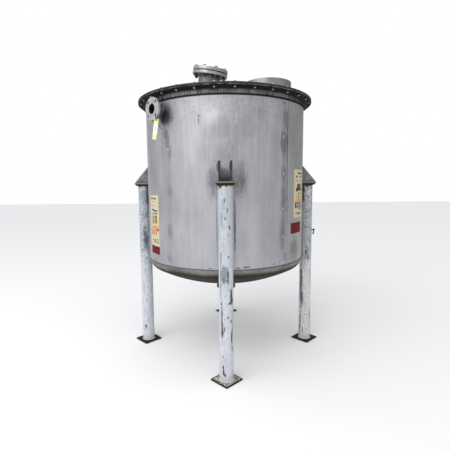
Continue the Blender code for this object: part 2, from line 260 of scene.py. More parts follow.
def open_hole(u, v, centre_u, centre_v, radius, reach):
    """A round hole in a flat grid of lines.

    The square of grid lines at half the reach is drawn onto the hole's circle, along the line from the
    centre. Points out to the reach move in proportion, and those beyond it stay. Gives the new u and v,
    and a mask of the faces inside the hole.
    """
    du = u - centre_u
    dv = v - centre_v
    square = np.maximum(np.abs(du), np.abs(dv))
    out = np.maximum(np.hypot(du, dv), 1e-9)
    edge = out * reach / np.maximum(square, 1e-9)
    share = (square - reach / 2) / (reach / 2)
    near = (square < reach) & (square > reach / 2 - 1e-6)
    factor = np.where(near, ((1 - share) * radius + share * edge) / out, 1.0)
    middle = [np.abs((offset[:-1, :-1] + offset[1:, 1:]) / 2) for offset in (du, dv)]
    return centre_u + du * factor, centre_v + dv * factor, np.maximum(*middle) < reach / 2


def hole_edge(centre_u, centre_v, radius):
    """The points of a hole's edge, in the order round it, where `open_hole` puts them."""
    side = np.linspace(-1.0, 1.0, HOLE_LINES // 2 + 1)[:-1]
    one = np.ones_like(side)
    u = np.concatenate([side, one, -side, -one, [-1.0]])
    v = np.concatenate([-one, side, one, -side, [-1.0]])
    out = np.hypot(u, v)
    return centre_u + radius * u / out, centre_v + radius * v / out


def wall_radius(azimuth, height):
    """The wall's outer radius: less a sum of sine waves, 0 to WALL_WAVE deep, that fades to its ends."""
    wave = sum(size * np.sin(turns * azimuth + up * height + start) for size, turns, up, start in WALL_WAVES)
    deepest = sum(row[0] for row in WALL_WAVES)
    fade = np.clip(np.minimum(WALL_TOP - height, height - WALL_BOTTOM) / WAVE_FADE, 0.0, 1.0)
    return WALL_RADIUS - WALL_WAVE * fade * (0.5 + wave / (2 * deepest))


hole_u = SIDE_AZIMUTH * WALL_RADIUS
half_round = math.pi * WALL_RADIUS
lines_u = hole_lines(hole_u - half_round, hole_u + half_round, WALL_COLUMNS, hole_u, HOLE_REACH)
lines_v = hole_lines(WALL_BOTTOM, WALL_TOP, WALL_ROWS, SIDE_HEIGHT, HOLE_REACH)
wall_u, wall_v = np.meshgrid(lines_u, lines_v)
wall_u, wall_v, wall_open = open_hole(wall_u, wall_v, hole_u, SIDE_HEIGHT, BRANCH_BORE, HOLE_REACH)
edge_u, edge_v = hole_edge(hole_u, SIDE_HEIGHT, BRANCH_BORE)


def wall_faces(u, v):
    """The outer and inner points of the wall, u round it and v up it."""
    radius = wall_radius(u / WALL_RADIUS, v)
    return [on_circle(radius - depth, u / WALL_RADIUS, v) for depth in (0.0, WALL_THICKNESS)]


outside, inside = wall_faces(wall_u, wall_v)
bore_wall = np.stack(wall_faces(edge_u, edge_v))
wall_ends = [np.stack([outside[row], inside[row]]) for row in (-1, 0)]
wall_patches = [(outside, wall_open), (inside, wall_open), bore_wall, *wall_ends]

STEEL = (0.405, 0.405, 0.428)
STEEL_GREENISH = (0.395, 0.396, 0.386)
# The stain and soot colours also paint shade and shadows among the wall's marks.
STAIN_AND_SHADE = (0.13, 0.135, 0.15)
SOOT_AND_SHADE = (0.018, 0.019, 0.022)
CHALK = (0.80, 0.81, 0.84)

# The heights of the painted shade in the corner under the rim, and of the dirt over the bottom's seam
RIM_SHADE_HEIGHTS = (2.304, 2.312)
SEAM_CREVICE = (0.924, 0.914)

# Marks on the wall, in the order that they cover each other: azimuth in degrees, height, half width in
# degrees, half height, softness, strength, colour
WALL_MARKS = (
    # The first two marks are a painted shadow of the side branch on the wall.
    (-39.8, 2.178, 8.2, 0.115, 0.75, 0.82, SOOT_AND_SHADE),
    (-43.5, 2.185, 4.6, 0.085, 0.80, 0.80, SOOT_AND_SHADE),
    # A broad painted shade over the wall's left side.
    (-60.0, 1.850, 14.0, 0.600, 1.00, 0.30, STAIN_AND_SHADE),
    (-41.2, 2.050, 2.6, 0.075, 0.50, 0.50, STAIN_AND_SHADE),
    (-39.4, 1.985, 2.8, 0.105, 0.45, 0.52, STAIN_AND_SHADE),
    (-37.8, 1.880, 3.6, 0.110, 1.00, 0.50, STAIN_AND_SHADE),
    (-38.4, 1.500, 4.6, 0.620, 0.90, 0.16, STAIN_AND_SHADE),
    (-37.9, 1.560, 3.6, 0.085, 0.80, 0.34, STAIN_AND_SHADE),
    (-38.9, 1.225, 3.6, 0.090, 0.80, 0.42, STAIN_AND_SHADE),
    (-39.8, 0.985, 3.8, 0.060, 0.90, 0.38, STAIN_AND_SHADE),
    (-15.7, 2.158, 1.3, 0.010, 0.50, 0.75, STAIN_AND_SHADE),
    (-15.8, 2.125, 0.6, 0.045, 0.60, 0.80, STAIN_AND_SHADE),
    (-13.0, 1.870, 7.0, 0.160, 0.90, 0.20, STAIN_AND_SHADE),
    (-2.4, 2.065, 6.5, 0.110, 0.25, 0.20, STAIN_AND_SHADE),
    (6.0, 2.015, 9.5, 0.150, 0.45, 0.16, STAIN_AND_SHADE),
    (14.5, 2.060, 6.0, 0.095, 0.35, 0.15, STAIN_AND_SHADE),
    (-9.5, 2.020, 5.0, 0.080, 0.60, 0.12, STAIN_AND_SHADE),
    (20.0, 2.180, 10.0, 0.090, 0.90, 0.20, STAIN_AND_SHADE),
    (33.0, 1.800, 6.0, 0.220, 0.90, 0.16, STAIN_AND_SHADE),
    (41.0, 1.620, 4.2, 0.800, 0.70, 0.34, STAIN_AND_SHADE),
    (40.5, 2.280, 2.0, 0.018, 0.90, 0.65, STAIN_AND_SHADE),
    (41.6, 2.165, 3.0, 0.130, 0.70, 0.45, STAIN_AND_SHADE),
    (40.6, 1.960, 4.2, 0.120, 0.40, 0.60, STAIN_AND_SHADE),
    (40.6, 1.700, 3.6, 0.105, 0.80, 0.50, STAIN_AND_SHADE),
    (40.6, 1.480, 3.6, 0.200, 0.80, 0.50, STAIN_AND_SHADE),
    (40.0, 1.180, 4.4, 0.200, 0.80, 0.54, STAIN_AND_SHADE),
    (42.4, 0.980, 3.4, 0.080, 0.85, 0.40, STAIN_AND_SHADE),
    (44.2, 2.040, 0.6, 0.330, 0.60, 0.90, SOOT_AND_SHADE),
    (44.2, 1.620, 0.5, 0.520, 0.70, 0.62, SOOT_AND_SHADE),
    (54.0, 1.040, 9.5, 0.150, 0.90, 0.60, STAIN_AND_SHADE),
    (27.2, 2.065, 0.9, 0.014, 0.80, 0.55, STAIN_AND_SHADE),
    (55.6, 1.887, 1.8, 0.010, 0.70, 0.65, STAIN_AND_SHADE),
    (-7.4, 1.640, 5.5, 0.160, 1.00, 0.34, STAIN_AND_SHADE),
    (9.0, 1.650, 7.0, 0.180, 1.00, 0.36, STAIN_AND_SHADE),
    (10.5, 1.150, 6.0, 0.240, 1.00, 0.20, STAIN_AND_SHADE),
    (-44.0, 1.950, 6.0, 0.260, 1.00, 0.14, STAIN_AND_SHADE),
    # The next two marks are painted shade between the front lug's webs and under its plate.
    (0.0, 1.660, 4.4, 0.120, 0.50, 0.62, SOOT_AND_SHADE),
    (0.0, 1.640, 5.0, 0.070, 0.80, 0.70, SOOT_AND_SHADE),
    (-4.5, 1.755, 1.2, 0.055, 0.80, 0.75, SOOT_AND_SHADE),
    (3.0, 1.755, 1.0, 0.055, 0.80, 0.75, SOOT_AND_SHADE),
    # The next two marks are painted shadows of the front leg on the wall beside it.
    (5.6, 1.270, 1.0, 0.360, 0.80, 0.70, SOOT_AND_SHADE),
    (-5.4, 1.270, 0.7, 0.360, 0.80, 0.35, SOOT_AND_SHADE),
    (13.0, 0.936, 2.9, 0.007, 0.50, 0.80, SOOT_AND_SHADE),
    (7.4, 0.931, 2.0, 0.006, 0.50, 0.70, SOOT_AND_SHADE),
    (-9.7, 0.929, 2.2, 0.006, 0.60, 0.55, SOOT_AND_SHADE),
    (32.5, 0.938, 1.0, 0.009, 0.60, 0.65, SOOT_AND_SHADE),
    (37.4, 0.950, 0.9, 0.012, 0.60, 0.50, STAIN_AND_SHADE),
    (-56.6, 0.932, 2.4, 0.018, 0.80, 0.50, STAIN_AND_SHADE),
    (5.0, 2.125, 12.0, 0.004, 0.90, 0.22, STAIN_AND_SHADE),
    (-26.0, 1.380, 21.0, 0.004, 0.90, 0.20, STAIN_AND_SHADE),
    (6.8, 2.150, 0.9, 0.060, 0.80, 0.20, CHALK),
    (6.8, 2.102, 1.0, 0.012, 0.80, 0.28, CHALK),
    (-8.0, 2.160, 8.0, 0.110, 0.90, 0.24, CHALK),
    (-20.0, 1.950, 10.0, 0.300, 1.00, 0.10, CHALK),
    (40.3, 2.008, 0.6, 0.030, 0.70, 0.55, CHALK),
    (40.5, 1.704, 0.9, 0.018, 0.80, 0.65, CHALK),
    (-38.9, 1.913, 0.8, 0.016, 0.80, 0.55, CHALK),
    (40.1, 1.406, 0.9, 0.014, 0.80, 0.60, CHALK),
    (40.4, 1.162, 0.9, 0.014, 0.80, 0.50, CHALK),
    (41.6, 0.940, 1.0, 0.014, 0.80, 0.55, CHALK),
)

# Dark upright scratches, by the front lug and above it: azimuth in degrees, height, half width in degrees,
# half height, strength
SCRATCHED = (
    (-7.6, 1.640, 5.5, 0.210, 0.52),
    (8.6, 1.650, 7.5, 0.200, 0.55),
    (0.0, 1.860, 11.0, 0.130, 0.26),
)


def new_group(name, inputs, outputs):
    """An empty node group with its sockets. Gives the group, the values that come in, and the way out."""
    group = bpy.data.node_groups.new(name, "ShaderNodeTree")
    for label, kind in inputs:
        group.interface.new_socket(label, in_out="INPUT", socket_type="NodeSocket" + kind)
    for label, kind in outputs:
        group.interface.new_socket(label, in_out="OUTPUT", socket_type="NodeSocket" + kind)
    return group, group.nodes.new("NodeGroupInput").outputs, group.nodes.new("NodeGroupOutput")


def use(tree, group, values):
    """A node group placed in a material with its values. Gives its outputs."""
    return node(tree, "Group", values, node_tree=group).outputs


def place_round(tree, centre=(0.0, 0.0)):
    """The azimuth in degrees and the height of a point of the surface, round an upright line."""
    return use(tree, ROUND_PLACE, {"Centre": (*centre, 0.0)})


def grain(tree, across, along, detail=3.0):
    """Brushed lines up and down, from 0 to 1: `across` and `along` are lines per metre."""
    return use(tree, GRAIN, {"Scale": (across, across, along), "Detail": detail})["Value"]


def clouds(tree, scale, detail=4.0, stretch=1.0):
    """Soft irregular patches, from 0 to 1, `scale` of them per metre, drawn out upwards by `stretch`."""
    return use(tree, GRAIN, {"Scale": (scale, scale, scale / stretch), "Detail": detail})["Value"]


def mark(tree, place, azimuth, height, half_width, half_height, softness, ragged):
    """A soft-edged oval at an azimuth and a height, 1 in its middle and 0 outside."""
    values = {
        "Azimuth": place["Azimuth"], "Height": place["Height"], "At": (azimuth, height, 0.0),
        "Half Size": (half_width, half_height, 1.0), "Softness": softness, "Ragged": ragged,
    }
    return use(tree, MARK, values)["Mask"]


def flecks(tree, scale, amount, softness=0.05, stretch=1.0):
    """Chips and specks with a hard or soft edge: `amount` is roughly the share that they cover."""
    values = {"Scale": (scale, scale, scale / stretch), "Amount": amount, "Softness": softness}
    return use(tree, FLECKS, values)["Mask"]


def product(tree, value, *others):
    """Values multiplied together, each a number or another node's output."""
    for other in others:
        value = maths(tree, "MULTIPLY", value, other)
    return value


def covered(tree, colour, tint, *masks):
    """The colour covered by a tint, fully where the product of the masks is 1."""
    return blend(tree, product(tree, *masks), colour, tint)


def add_marks(tree, place, colour, marks, ragged=0.45):
    """The colour with every mark over it. Each has its place, sizes, softness, strength and colour."""
    for azimuth, height, half_width, half_height, softness, strength, tint in marks:
        mask = mark(tree, place, azimuth, height, half_width, half_height, softness, ragged)
        colour = covered(tree, colour, tint, mask, strength)
    return colour


def tinted(tree, colour, value, amount):
    """The colour made lighter or darker by up to `amount`, as a value goes from 0 to 1."""
    factor = between(tree, value, 0.0, 1.0, 1.0 - amount, 1.0 + amount)
    grey = node(tree, "CombineColor", {0: factor, 1: factor, 2: factor}).outputs[0]
    return blend(tree, 1.0, colour, grey, "MULTIPLY")


def dress(tree, shader, colour, roughness=None, bump=None):
    """Gives the shader its colour, and its roughness and bump where they are given.

    The roughness is (value, low, high), from low to high as the value goes from 0 to 1. The bump is
    (height, depth in metres, strength).
    """
    tree.links.new(colour, shader.inputs["Base Color"])
    if roughness:
        value, low, high = roughness
        tree.links.new(between(tree, value, 0.0, 1.0, low, high), shader.inputs["Roughness"])
    if bump:
        height, depth, strength = bump
        made = node(tree, "Bump", {"Strength": strength, "Distance": depth, "Height": height})
        tree.links.new(made.outputs[0], shader.inputs["Normal"])


# The place round an upright line: azimuth = atan2(x, -y) in degrees, and z
ROUND_PLACE, given, result = new_group(
    "round place", [("Centre", "Vector")], [("Azimuth", "Float"), ("Height", "Float")]
)
spot = node(ROUND_PLACE, "TexCoord").outputs["Object"]
offset = vectors(ROUND_PLACE, "SUBTRACT", spot, given["Centre"])
axes = node(ROUND_PLACE, "SeparateXYZ", {0: offset}).outputs
turn = maths(ROUND_PLACE, "ARCTAN2", axes["X"], maths(ROUND_PLACE, "MULTIPLY", axes["Y"], -1.0))
ROUND_PLACE.links.new(maths(ROUND_PLACE, "DEGREES", turn), result.inputs["Azimuth"])
ROUND_PLACE.links.new(axes["Z"], result.inputs["Height"])

# Noise on the object's own coordinates, scaled along each axis, its contrast doubled about the middle
GRAIN, given, result = new_group("grain", [("Scale", "Vector"), ("Detail", "Float")], [("Value", "Float")])
spot = node(GRAIN, "TexCoord").outputs["Object"]
scaled = vectors(GRAIN, "MULTIPLY", spot, given["Scale"])
noise = node(GRAIN, "TexNoise", {"Vector": scaled, "Scale": 1.0, "Detail": given["Detail"], "Roughness": 0.6})
spread = node(GRAIN, "MapRange", {"Value": noise.outputs[0], "From Min": 0.25, "From Max": 0.75})
GRAIN.links.new(spread.outputs[0], result.inputs["Value"])

# An oval: the distance from its middle, in half sizes, fades from 1 inside to 0 at its edge
MARK, given, result = new_group(
    "mark",
    [
        ("Azimuth", "Float"), ("Height", "Float"), ("At", "Vector"), ("Half Size", "Vector"),
        ("Softness", "Float"), ("Ragged", "Float"),
    ],
    [("Mask", "Float")],
)
spot = node(MARK, "TexCoord").outputs["Object"]
broad = node(MARK, "TexNoise", {"Vector": spot, "Scale": 22.0, "Detail": 2.0}).outputs[0]
fine = node(MARK, "TexNoise", {"Vector": spot, "Scale": 110.0, "Detail": 3.0}).outputs[0]
wander = maths(MARK, "SUBTRACT", maths(MARK, "ADD", broad, fine), 1.0)
wander = maths(MARK, "MULTIPLY", wander, given["Ragged"])
here = node(MARK, "CombineXYZ", {0: given["Azimuth"], 1: given["Height"]}).outputs[0]
sized = vectors(MARK, "DIVIDE", vectors(MARK, "SUBTRACT", here, given["At"]), given["Half Size"])
distance = maths(MARK, "ADD", vectors(MARK, "LENGTH", sized), wander)
start = maths(MARK, "SUBTRACT", 1.0, given["Softness"])
MARK.links.new(between(MARK, distance, start, 1.0, 1.0, 0.0), result.inputs["Mask"])

# Specks: noise above a level that falls as the amount grows
FLECKS, given, result = new_group(
    "flecks", [("Scale", "Vector"), ("Amount", "Float"), ("Softness", "Float")], [("Mask", "Float")]
)
spot = node(FLECKS, "TexCoord").outputs["Object"]
scaled = vectors(FLECKS, "MULTIPLY", spot, given["Scale"])
noise = node(FLECKS, "TexNoise", {"Vector": scaled, "Scale": 1.0, "Detail": 4.0, "Roughness": 0.65})
edge = maths(FLECKS, "SUBTRACT", 0.72, maths(FLECKS, "MULTIPLY", given["Amount"], 0.44))
soft_edge = maths(FLECKS, "SUBTRACT", edge, given["Softness"])
FLECKS.links.new(between(FLECKS, noise.outputs[0], soft_edge, edge), result.inputs["Mask"])

wall_steel, tree, shader = plain_material("wall_steel", STEEL, 0.5, 0.85)
place = place_round(tree)
fine_lines = grain(tree, 260.0, 2.0)
broad_lines = grain(tree, 34.0, 0.9)
patches = clouds(tree, 2.2, stretch=1.6)
second_plate = between(tree, place["Azimuth"], SEAM_DEGREES - 0.2, SEAM_DEGREES + 0.3)
colour = blend(tree, second_plate, STEEL, STEEL_GREENISH)
colour = tinted(tree, colour, patches, 0.14)
colour = tinted(tree, colour, clouds(tree, 9.0, stretch=2.5), 0.06)
colour = tinted(tree, colour, broad_lines, 0.035)
colour = tinted(tree, colour, fine_lines, 0.07)
rain = flecks(tree, 95.0, 0.30, 0.12, stretch=30.0)
colour = covered(tree, colour, STAIN_AND_SHADE, rain, between(tree, place["Height"], 1.3, 2.0), 0.15)
spatter = between(tree, clouds(tree, 46.0, 5.0), 0.50, 0.75, 0.0, 0.24)
colour = covered(tree, colour, STAIN_AND_SHADE, spatter, between(tree, place["Height"], 2.06, 2.20))
colour = add_marks(tree, place, colour, WALL_MARKS)
scratches = flecks(tree, 190.0, 0.46, 0.14, stretch=16.0)
for azimuth, height, half_width, half_height, strength in SCRATCHED:
    scratched = mark(tree, place, azimuth, height, half_width, half_height, 0.9, 0.45)
    colour = covered(tree, colour, SOOT_AND_SHADE, scratched, scratches, strength)
# Painted shade under the rim's ring, and dirt over the bottom's seam, both in soot colour.
rim_shade = between(tree, place["Height"], *RIM_SHADE_HEIGHTS)
seam_dirt = between(tree, place["Height"], *SEAM_CREVICE, 0.0, 0.80)
colour = blend(tree, maths(tree, "MAXIMUM", rim_shade, seam_dirt), colour, SOOT_AND_SHADE)
dress(tree, shader, colour, (patches, 0.46, 0.60), (fine_lines, 0.0003, 0.15))
SHELL_NODES = [f"shell_panel_{number}" for number in range(1, 8)]
piece("shell_wall", wall_patches, wall_steel, SHELL_NODES)


# Dished bottom
# One stainless plate pressed to the standard dish, with a tight knuckle at its edge and a hole in the
# middle for the drain. It is butt-welded to the wall, and is painted dark brown underneath, for grime and
# for the shade under the tank.
HEAD_SEAM = 0.908
CROWN_RADIUS = 1.524
KNUCKLE_RADIUS = 0.09144
HEAD_THICKNESS = 0.006
ROUND_STEPS = 384
HEAD_GREY = (0.195, 0.188, 0.176)
UNDERSIDE_SHADE_BROWN = (0.022, 0.016, 0.011)
GRIME_AND_SHADE_HEIGHTS = (0.904, 0.862)


def dish(inset, knuckle_points=16, crown_points=40):
    """(radius, height) down the dish: an arc of the knuckle to where it meets the crown, then the crown's."""
    knuckle_middle = WALL_RADIUS - KNUCKLE_RADIUS
    reach = CROWN_RADIUS - KNUCKLE_RADIUS
    crown_top = HEAD_SEAM + math.sqrt(reach**2 - knuckle_middle**2)
    meet = math.asin(knuckle_middle / reach)
    knuckle = np.linspace(math.pi / 2, meet, knuckle_points)[:-1]
    crown = np.linspace(meet, math.asin(BRANCH_BORE / (CROWN_RADIUS - inset)), crown_points)
    arcs = ((knuckle_middle, HEAD_SEAM, KNUCKLE_RADIUS, knuckle), (0.0, crown_top, CROWN_RADIUS, crown))
    return np.concatenate([
        np.stack([out + (radius - inset) * np.sin(turn), up - (radius - inset) * np.cos(turn)], -1)
        for out, up, radius, turn in arcs
    ])


def turned(profile, steps=ROUND_STEPS):
    """A grid from (radius, height) points carried round +Z: every point at every azimuth, ends included."""
    profile = np.asarray(profile, float)
    azimuth = np.linspace(0.0, math.tau, steps + 1)
    return on_circle(profile[:, :1], azimuth[None, :], profile[:, 1:])


head_steel, tree, shader = plain_material("head_steel", HEAD_GREY, 0.5, 0.85)
place = place_round(tree)
patches = clouds(tree, 5.0, stretch=0.7)
colour = tinted(tree, HEAD_GREY, patches, 0.25)
colour = tinted(tree, colour, grain(tree, 160.0, 20.0), 0.08)
# The underside is painted dark brown, for grime and for the shade under the tank.
level = maths(tree, "ADD", place["Height"], maths(tree, "MULTIPLY", patches, 0.020))
grime_and_shade = between(tree, level, *GRIME_AND_SHADE_HEIGHTS)
dress(tree, shader, blend(tree, grime_and_shade, colour, UNDERSIDE_SHADE_BROWN), (grime_and_shade, 0.42, 0.85))
tree.links.new(between(tree, grime_and_shade, 0.0, 1.0, 0.85, 0.15), shader.inputs["Metallic"])
head_profile = np.concatenate([dish(0.0), dish(HEAD_THICKNESS)[::-1]])
head_profile = np.concatenate([head_profile, head_profile[:1]])
piece("dished_bottom", [turned(head_profile)], head_steel, ["bottom_head"])


# Weld seams of the wall and the bottom
# Two low beads of filler metal, one up the wall where the rolled plate meets itself, and one round the
# knuckle. They are ground almost flush, and burnt dark in patches.
BEAD_RIPPLE = 0.004
BEAD_SIDES = 8
SEAM_BEAD = 0.0030
SEAM_SUNK = 0.0021
WELD_COLOUR = (0.26, 0.26, 0.27)
WELD_BURNT = (0.10, 0.085, 0.07)


def bead(path, out, radius, swell=0.1):
    """A rippled bead along a path: radius (1 + swell cos(2 pi s / ripple)) round each point, s along it.

    `out` points away from the metal at each point. A path that ends where it starts closes on itself, and
    the ends of any other path close to a point.
    """
    path = np.asarray(path, float)
    out = np.broadcast_to(np.asarray(out, float), path.shape)
    steps = np.linalg.norm(np.diff(path, axis=0), axis=1)
    along = np.concatenate([[0.0], np.cumsum(steps)])
    whole = max(1, round(along[-1] / BEAD_RIPPLE))
    at = np.linspace(0.0, along[-1], 3 * whole + 1)
    path = np.stack([np.interp(at, along, path[:, axis]) for axis in range(3)], -1)
    out = np.stack([np.interp(at, along, out[:, axis]) for axis in range(3)], -1)
    ahead_of = np.gradient(path, axis=0)
    closed = np.allclose(path[0], path[-1])
    if closed:
        ahead_of[0] = ahead_of[-1] = path[1] - path[-2]
    side = np.cross(ahead_of, out)
    side /= np.linalg.norm(side, axis=1, keepdims=True)
    up = np.cross(side, ahead_of)
    up /= np.linalg.norm(up, axis=1, keepdims=True)
    size = radius * (1.0 + swell * np.cos(math.tau * whole * at / along[-1]))
    angle = np.linspace(0.0, math.tau, BEAD_SIDES + 1)[None, :, None]
    grid = path[:, None] + size[:, None, None] * (np.cos(angle) * up[:, None] + np.sin(angle) * side[:, None])
    if not closed:
        first_end = np.repeat(path[:1, None], BEAD_SIDES + 1, 1)
        last_end = np.repeat(path[-1:, None], BEAD_SIDES + 1, 1)
        grid = np.concatenate([first_end, grid, last_end])
    return grid


def circle_path(radius, height, centre=(0.0, 0.0), points=361):
    """A level circle of points and the directions straight out from its middle."""
    azimuth = np.linspace(0.0, math.tau, points)
    out = on_circle(1.0, azimuth, 0.0)
    return out * radius + np.array([*centre, height]), out


weld_metal, tree, shader = plain_material("weld_metal", WELD_COLOUR, 0.5, 1.0)
tint = clouds(tree, 60.0)
colour = blend(tree, between(tree, tint, 0.35, 0.8), WELD_COLOUR, WELD_BURNT)
dress(tree, shader, colour, bump=(tint, 0.0004, 0.4))

heights = np.linspace(WALL_BOTTOM, WALL_TOP, 60)
seam_out = on_circle(1.0, SEAM_AZIMUTH, np.zeros_like(heights))
seam_path = on_circle(wall_radius(SEAM_AZIMUTH, heights) - SEAM_SUNK, SEAM_AZIMUTH, heights)
piece("upright_seam", [bead(seam_path, seam_out, SEAM_BEAD)], weld_metal)
seam_round = bead(*circle_path(WALL_RADIUS - SEAM_SUNK, HEAD_SEAM), SEAM_BEAD)
piece("bottom_seam", [seam_round], weld_metal)


# Bolted rim
# A rolled steel angle welded round the wall's top, a flat rubber gasket, and the lid's edge over it. The
# ring is painted nearly black underneath, for old dirt and the shade under it, and its upright leg shows
# worn grey metal above a painted shadow line along its foot.
RIM_RADIUS = 0.831
RING_TOP = 2.378
RING_UNDER = 2.3695
RING_ROOT = 0.007
RING_INSIDE = 0.7623
RING_OUTSIDE = 0.7688
RING_BOTTOM = 2.3185
GASKET_TOP = 2.381
GASKET_RECESS = 0.003
SHADE_AND_GRIME_BLACK = (0.012, 0.012, 0.013)
RING_GREY = (0.37, 0.37, 0.39)
EDGE_GREY = (0.16, 0.16, 0.15)
RUBBER = (0.012, 0.012, 0.013)
RUBBER_DUST = (0.05, 0.048, 0.045)

# Where the ring is worn: the heights down which its leg turns grey, and up which its foot is painted dark
# as a shadow line, the azimuths in degrees past which its leg stays nearly black, and the heights of the
# bright edge
WORN_LEG = (2.362, 2.338)
SHADOW_LINE_FOOT = (2.320, 2.326)
DARK_SIDES = (30.0, 66.0)
BRIGHT_EDGE = (2.3695, 2.3715)


def eased(outline, ease, bends=4):
    """A closed outline with each corner P replaced by the curve (1-t)^2 A + 2t(1-t) P + t^2 B.

    A and B lie on the two sides of the corner, `ease` away from it, or less than half a side.
    """
    outline = np.asarray(outline, float)
    t = np.linspace(0.0, 1.0, bends)[None, :, None]
    ends = []
    for other in (np.roll(outline, 1, 0), np.roll(outline, -1, 0)):
        side = other - outline
        length = np.maximum(np.linalg.norm(side, axis=1), 1e-9)
        ends.append(outline + side * (np.minimum(ease, 0.45 * length) / length)[:, None])
    start_points, end_points = (points[:, None] for points in ends)
    curve = (1 - t) ** 2 * start_points + 2 * t * (1 - t) * outline[:, None] + t**2 * end_points
    curve = curve.reshape(-1, outline.shape[1])
    return np.concatenate([curve, curve[:1]])


# Near black for old dirt and the painted shade under the ring, with a painted shadow line along the leg's
# foot.
ring_steel, tree, shader = plain_material("ring_steel", SHADE_AND_GRIME_BLACK, 0.6, 0.6)
place = place_round(tree)
blotches = clouds(tree, 16.0, stretch=1.4)
runs = between(tree, grain(tree, 70.0, 9.0), 0.15, 0.8, 0.35, 1.0)
worn = between(tree, place["Height"], *WORN_LEG)
foot = between(tree, place["Height"], *SHADOW_LINE_FOOT)
rubbed = product(tree, worn, between(tree, blotches, -0.1, 0.8), runs, foot)
front_grey = between(tree, maths(tree, "ABSOLUTE", place["Azimuth"]), *DARK_SIDES, 1.0, 0.14)
colour = covered(tree, SHADE_AND_GRIME_BLACK, RING_GREY, rubbed, front_grey)
edge_line = between(tree, place["Height"], *BRIGHT_EDGE)
colour = covered(tree, colour, EDGE_GREY, edge_line, between(tree, blotches, 0.2, 0.9))
dress(tree, shader, colour, (blotches, 0.6, 0.9), (clouds(tree, 220.0), 0.0005, 0.4))
tree.links.new(between(tree, rubbed, 0.0, 0.6, 0.05, 0.7), shader.inputs["Metallic"])
shader.inputs["Specular IOR Level"].default_value = 0.15
root = np.linspace(0.0, math.pi / 2, 7)
ring_root = np.stack([
    RING_OUTSIDE + RING_ROOT * (1 - np.sin(root)), RING_UNDER - RING_ROOT * (1 - np.cos(root)),
], -1)
ring_profile = eased(
    [
        (RIM_RADIUS, RING_TOP), (RIM_RADIUS, RING_UNDER), *ring_root, (RING_OUTSIDE, RING_BOTTOM),
        (RING_INSIDE, RING_BOTTOM), (RING_INSIDE, RING_TOP),
    ],
    0.0012,
)
piece("angle_ring", [turned(ring_profile)], ring_steel, ["rim_ring"])

black_rubber, tree, shader = plain_material("black_rubber", RUBBER, 0.8)
dust = clouds(tree, 90.0)
colour = blend(tree, between(tree, dust, 0.5, 1.0), RUBBER, RUBBER_DUST)
dress(tree, shader, colour, bump=(dust, 0.0003, 0.4))
gasket_outer = RIM_RADIUS - GASKET_RECESS
gasket_inner = WALL_RADIUS - WALL_THICKNESS
gasket_profile = eased(
    [
        (gasket_outer, GASKET_TOP), (gasket_outer, RING_TOP), (gasket_inner, RING_TOP),
        (gasket_inner, GASKET_TOP),
    ],
    0.0006,
)
piece("flat_gasket", [turned(gasket_profile)], black_rubber, ["rim_gasket"])


# Lid
# A flat round plate with a sawn edge, dull and water-stained on top, with the two openings cut through it.
LID_TOP = 2.3925
LID_EDGE = 0.0010
LID_COLOUR = (0.30, 0.30, 0.305)
LID_EDGE_DIRT = (0.045, 0.046, 0.047)

lid_steel, tree, shader = plain_material("lid_steel", LID_COLOUR, 0.5, 0.9)
place = place_round(tree)
stains = clouds(tree, 6.0)
colour = tinted(tree, LID_COLOUR, stains, 0.30)
colour = tinted(tree, colour, grain(tree, 60.0, 60.0), 0.08)
edge_dirt = between(tree, place["Height"], LID_TOP - 0.0005, LID_TOP - 0.0025)
colour = blend(tree, edge_dirt, colour, LID_EDGE_DIRT)
dress(tree, shader, colour, (stains, 0.40, 0.65), (clouds(tree, 120.0), 0.0003, 0.25))

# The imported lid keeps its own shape: its faces are joined and its edges are eased
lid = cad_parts["lid"]
lid.modifiers.new("joined", "WELD").merge_threshold = 0.00001
bevel = lid.modifiers.new("eased", "BEVEL")
bevel.width = LID_EDGE
bevel.segments = 2
bevel.limit_method = "ANGLE"
bevel.angle_limit = math.radians(40)
lid.material_slots[0].material = lid_steel


# Rim bolts
# Thirty-two half-inch zinc-plated bolts hold the lid down: a head and a washer on the lid, and under the
# ring a washer, a nut and the end of the thread.
RIM_BOLTS = 32
RIM_BOLT_CIRCLE = 0.807
HALF_INCH = {
    "shank": 0.00635, "flats": 0.0095, "head": 0.0080, "nut": 0.0110, "washer": 0.0135, "end": 0.0035,
}
WASHER_THICKNESS = 0.0022
HEX_POINTS = 24
ZINC = (0.42, 0.42, 0.41)
ZINC_SPOTS = (0.12, 0.10, 0.08)
SHADE_UNDER_RING = (2.374, 2.370)
THREAD_END = (2.3585, 2.3572)
WEATHERED = (45.0, 80.0)
UP = np.array([0.0, 0.0, 1.0])


def polar(radius, angle, height):
    """Points at a radius and height round +Z, their angle counted from +X: (r cos a, r sin a, z)."""
    radius, angle, height = np.broadcast_arrays(radius, angle, height)
    return np.stack([radius * np.cos(angle), radius * np.sin(angle), height], -1)


def hexagon(flats, low, high, chamfer=0.0012):
    """A closed six-sided prism from low to high, its corners cut back at both ends.

    At an angle a from the middle of a flat, a side is flats / cos(a) away. The ends are no wider than the
    circle just outside the flats.
    """
    angle = np.linspace(0.0, math.tau, HEX_POINTS + 1)
    from_flat = (angle + math.pi / 6) % (math.pi / 3) - math.pi / 6
    side = flats / np.cos(from_flat)
    end = np.minimum(side, flats * 1.04)
    radii = np.stack([0 * side, end, side, side, end, 0 * side])
    heights = np.array([low, low, low + chamfer, high - chamfer, high, high])[:, None]
    return polar(radii, angle, heights)


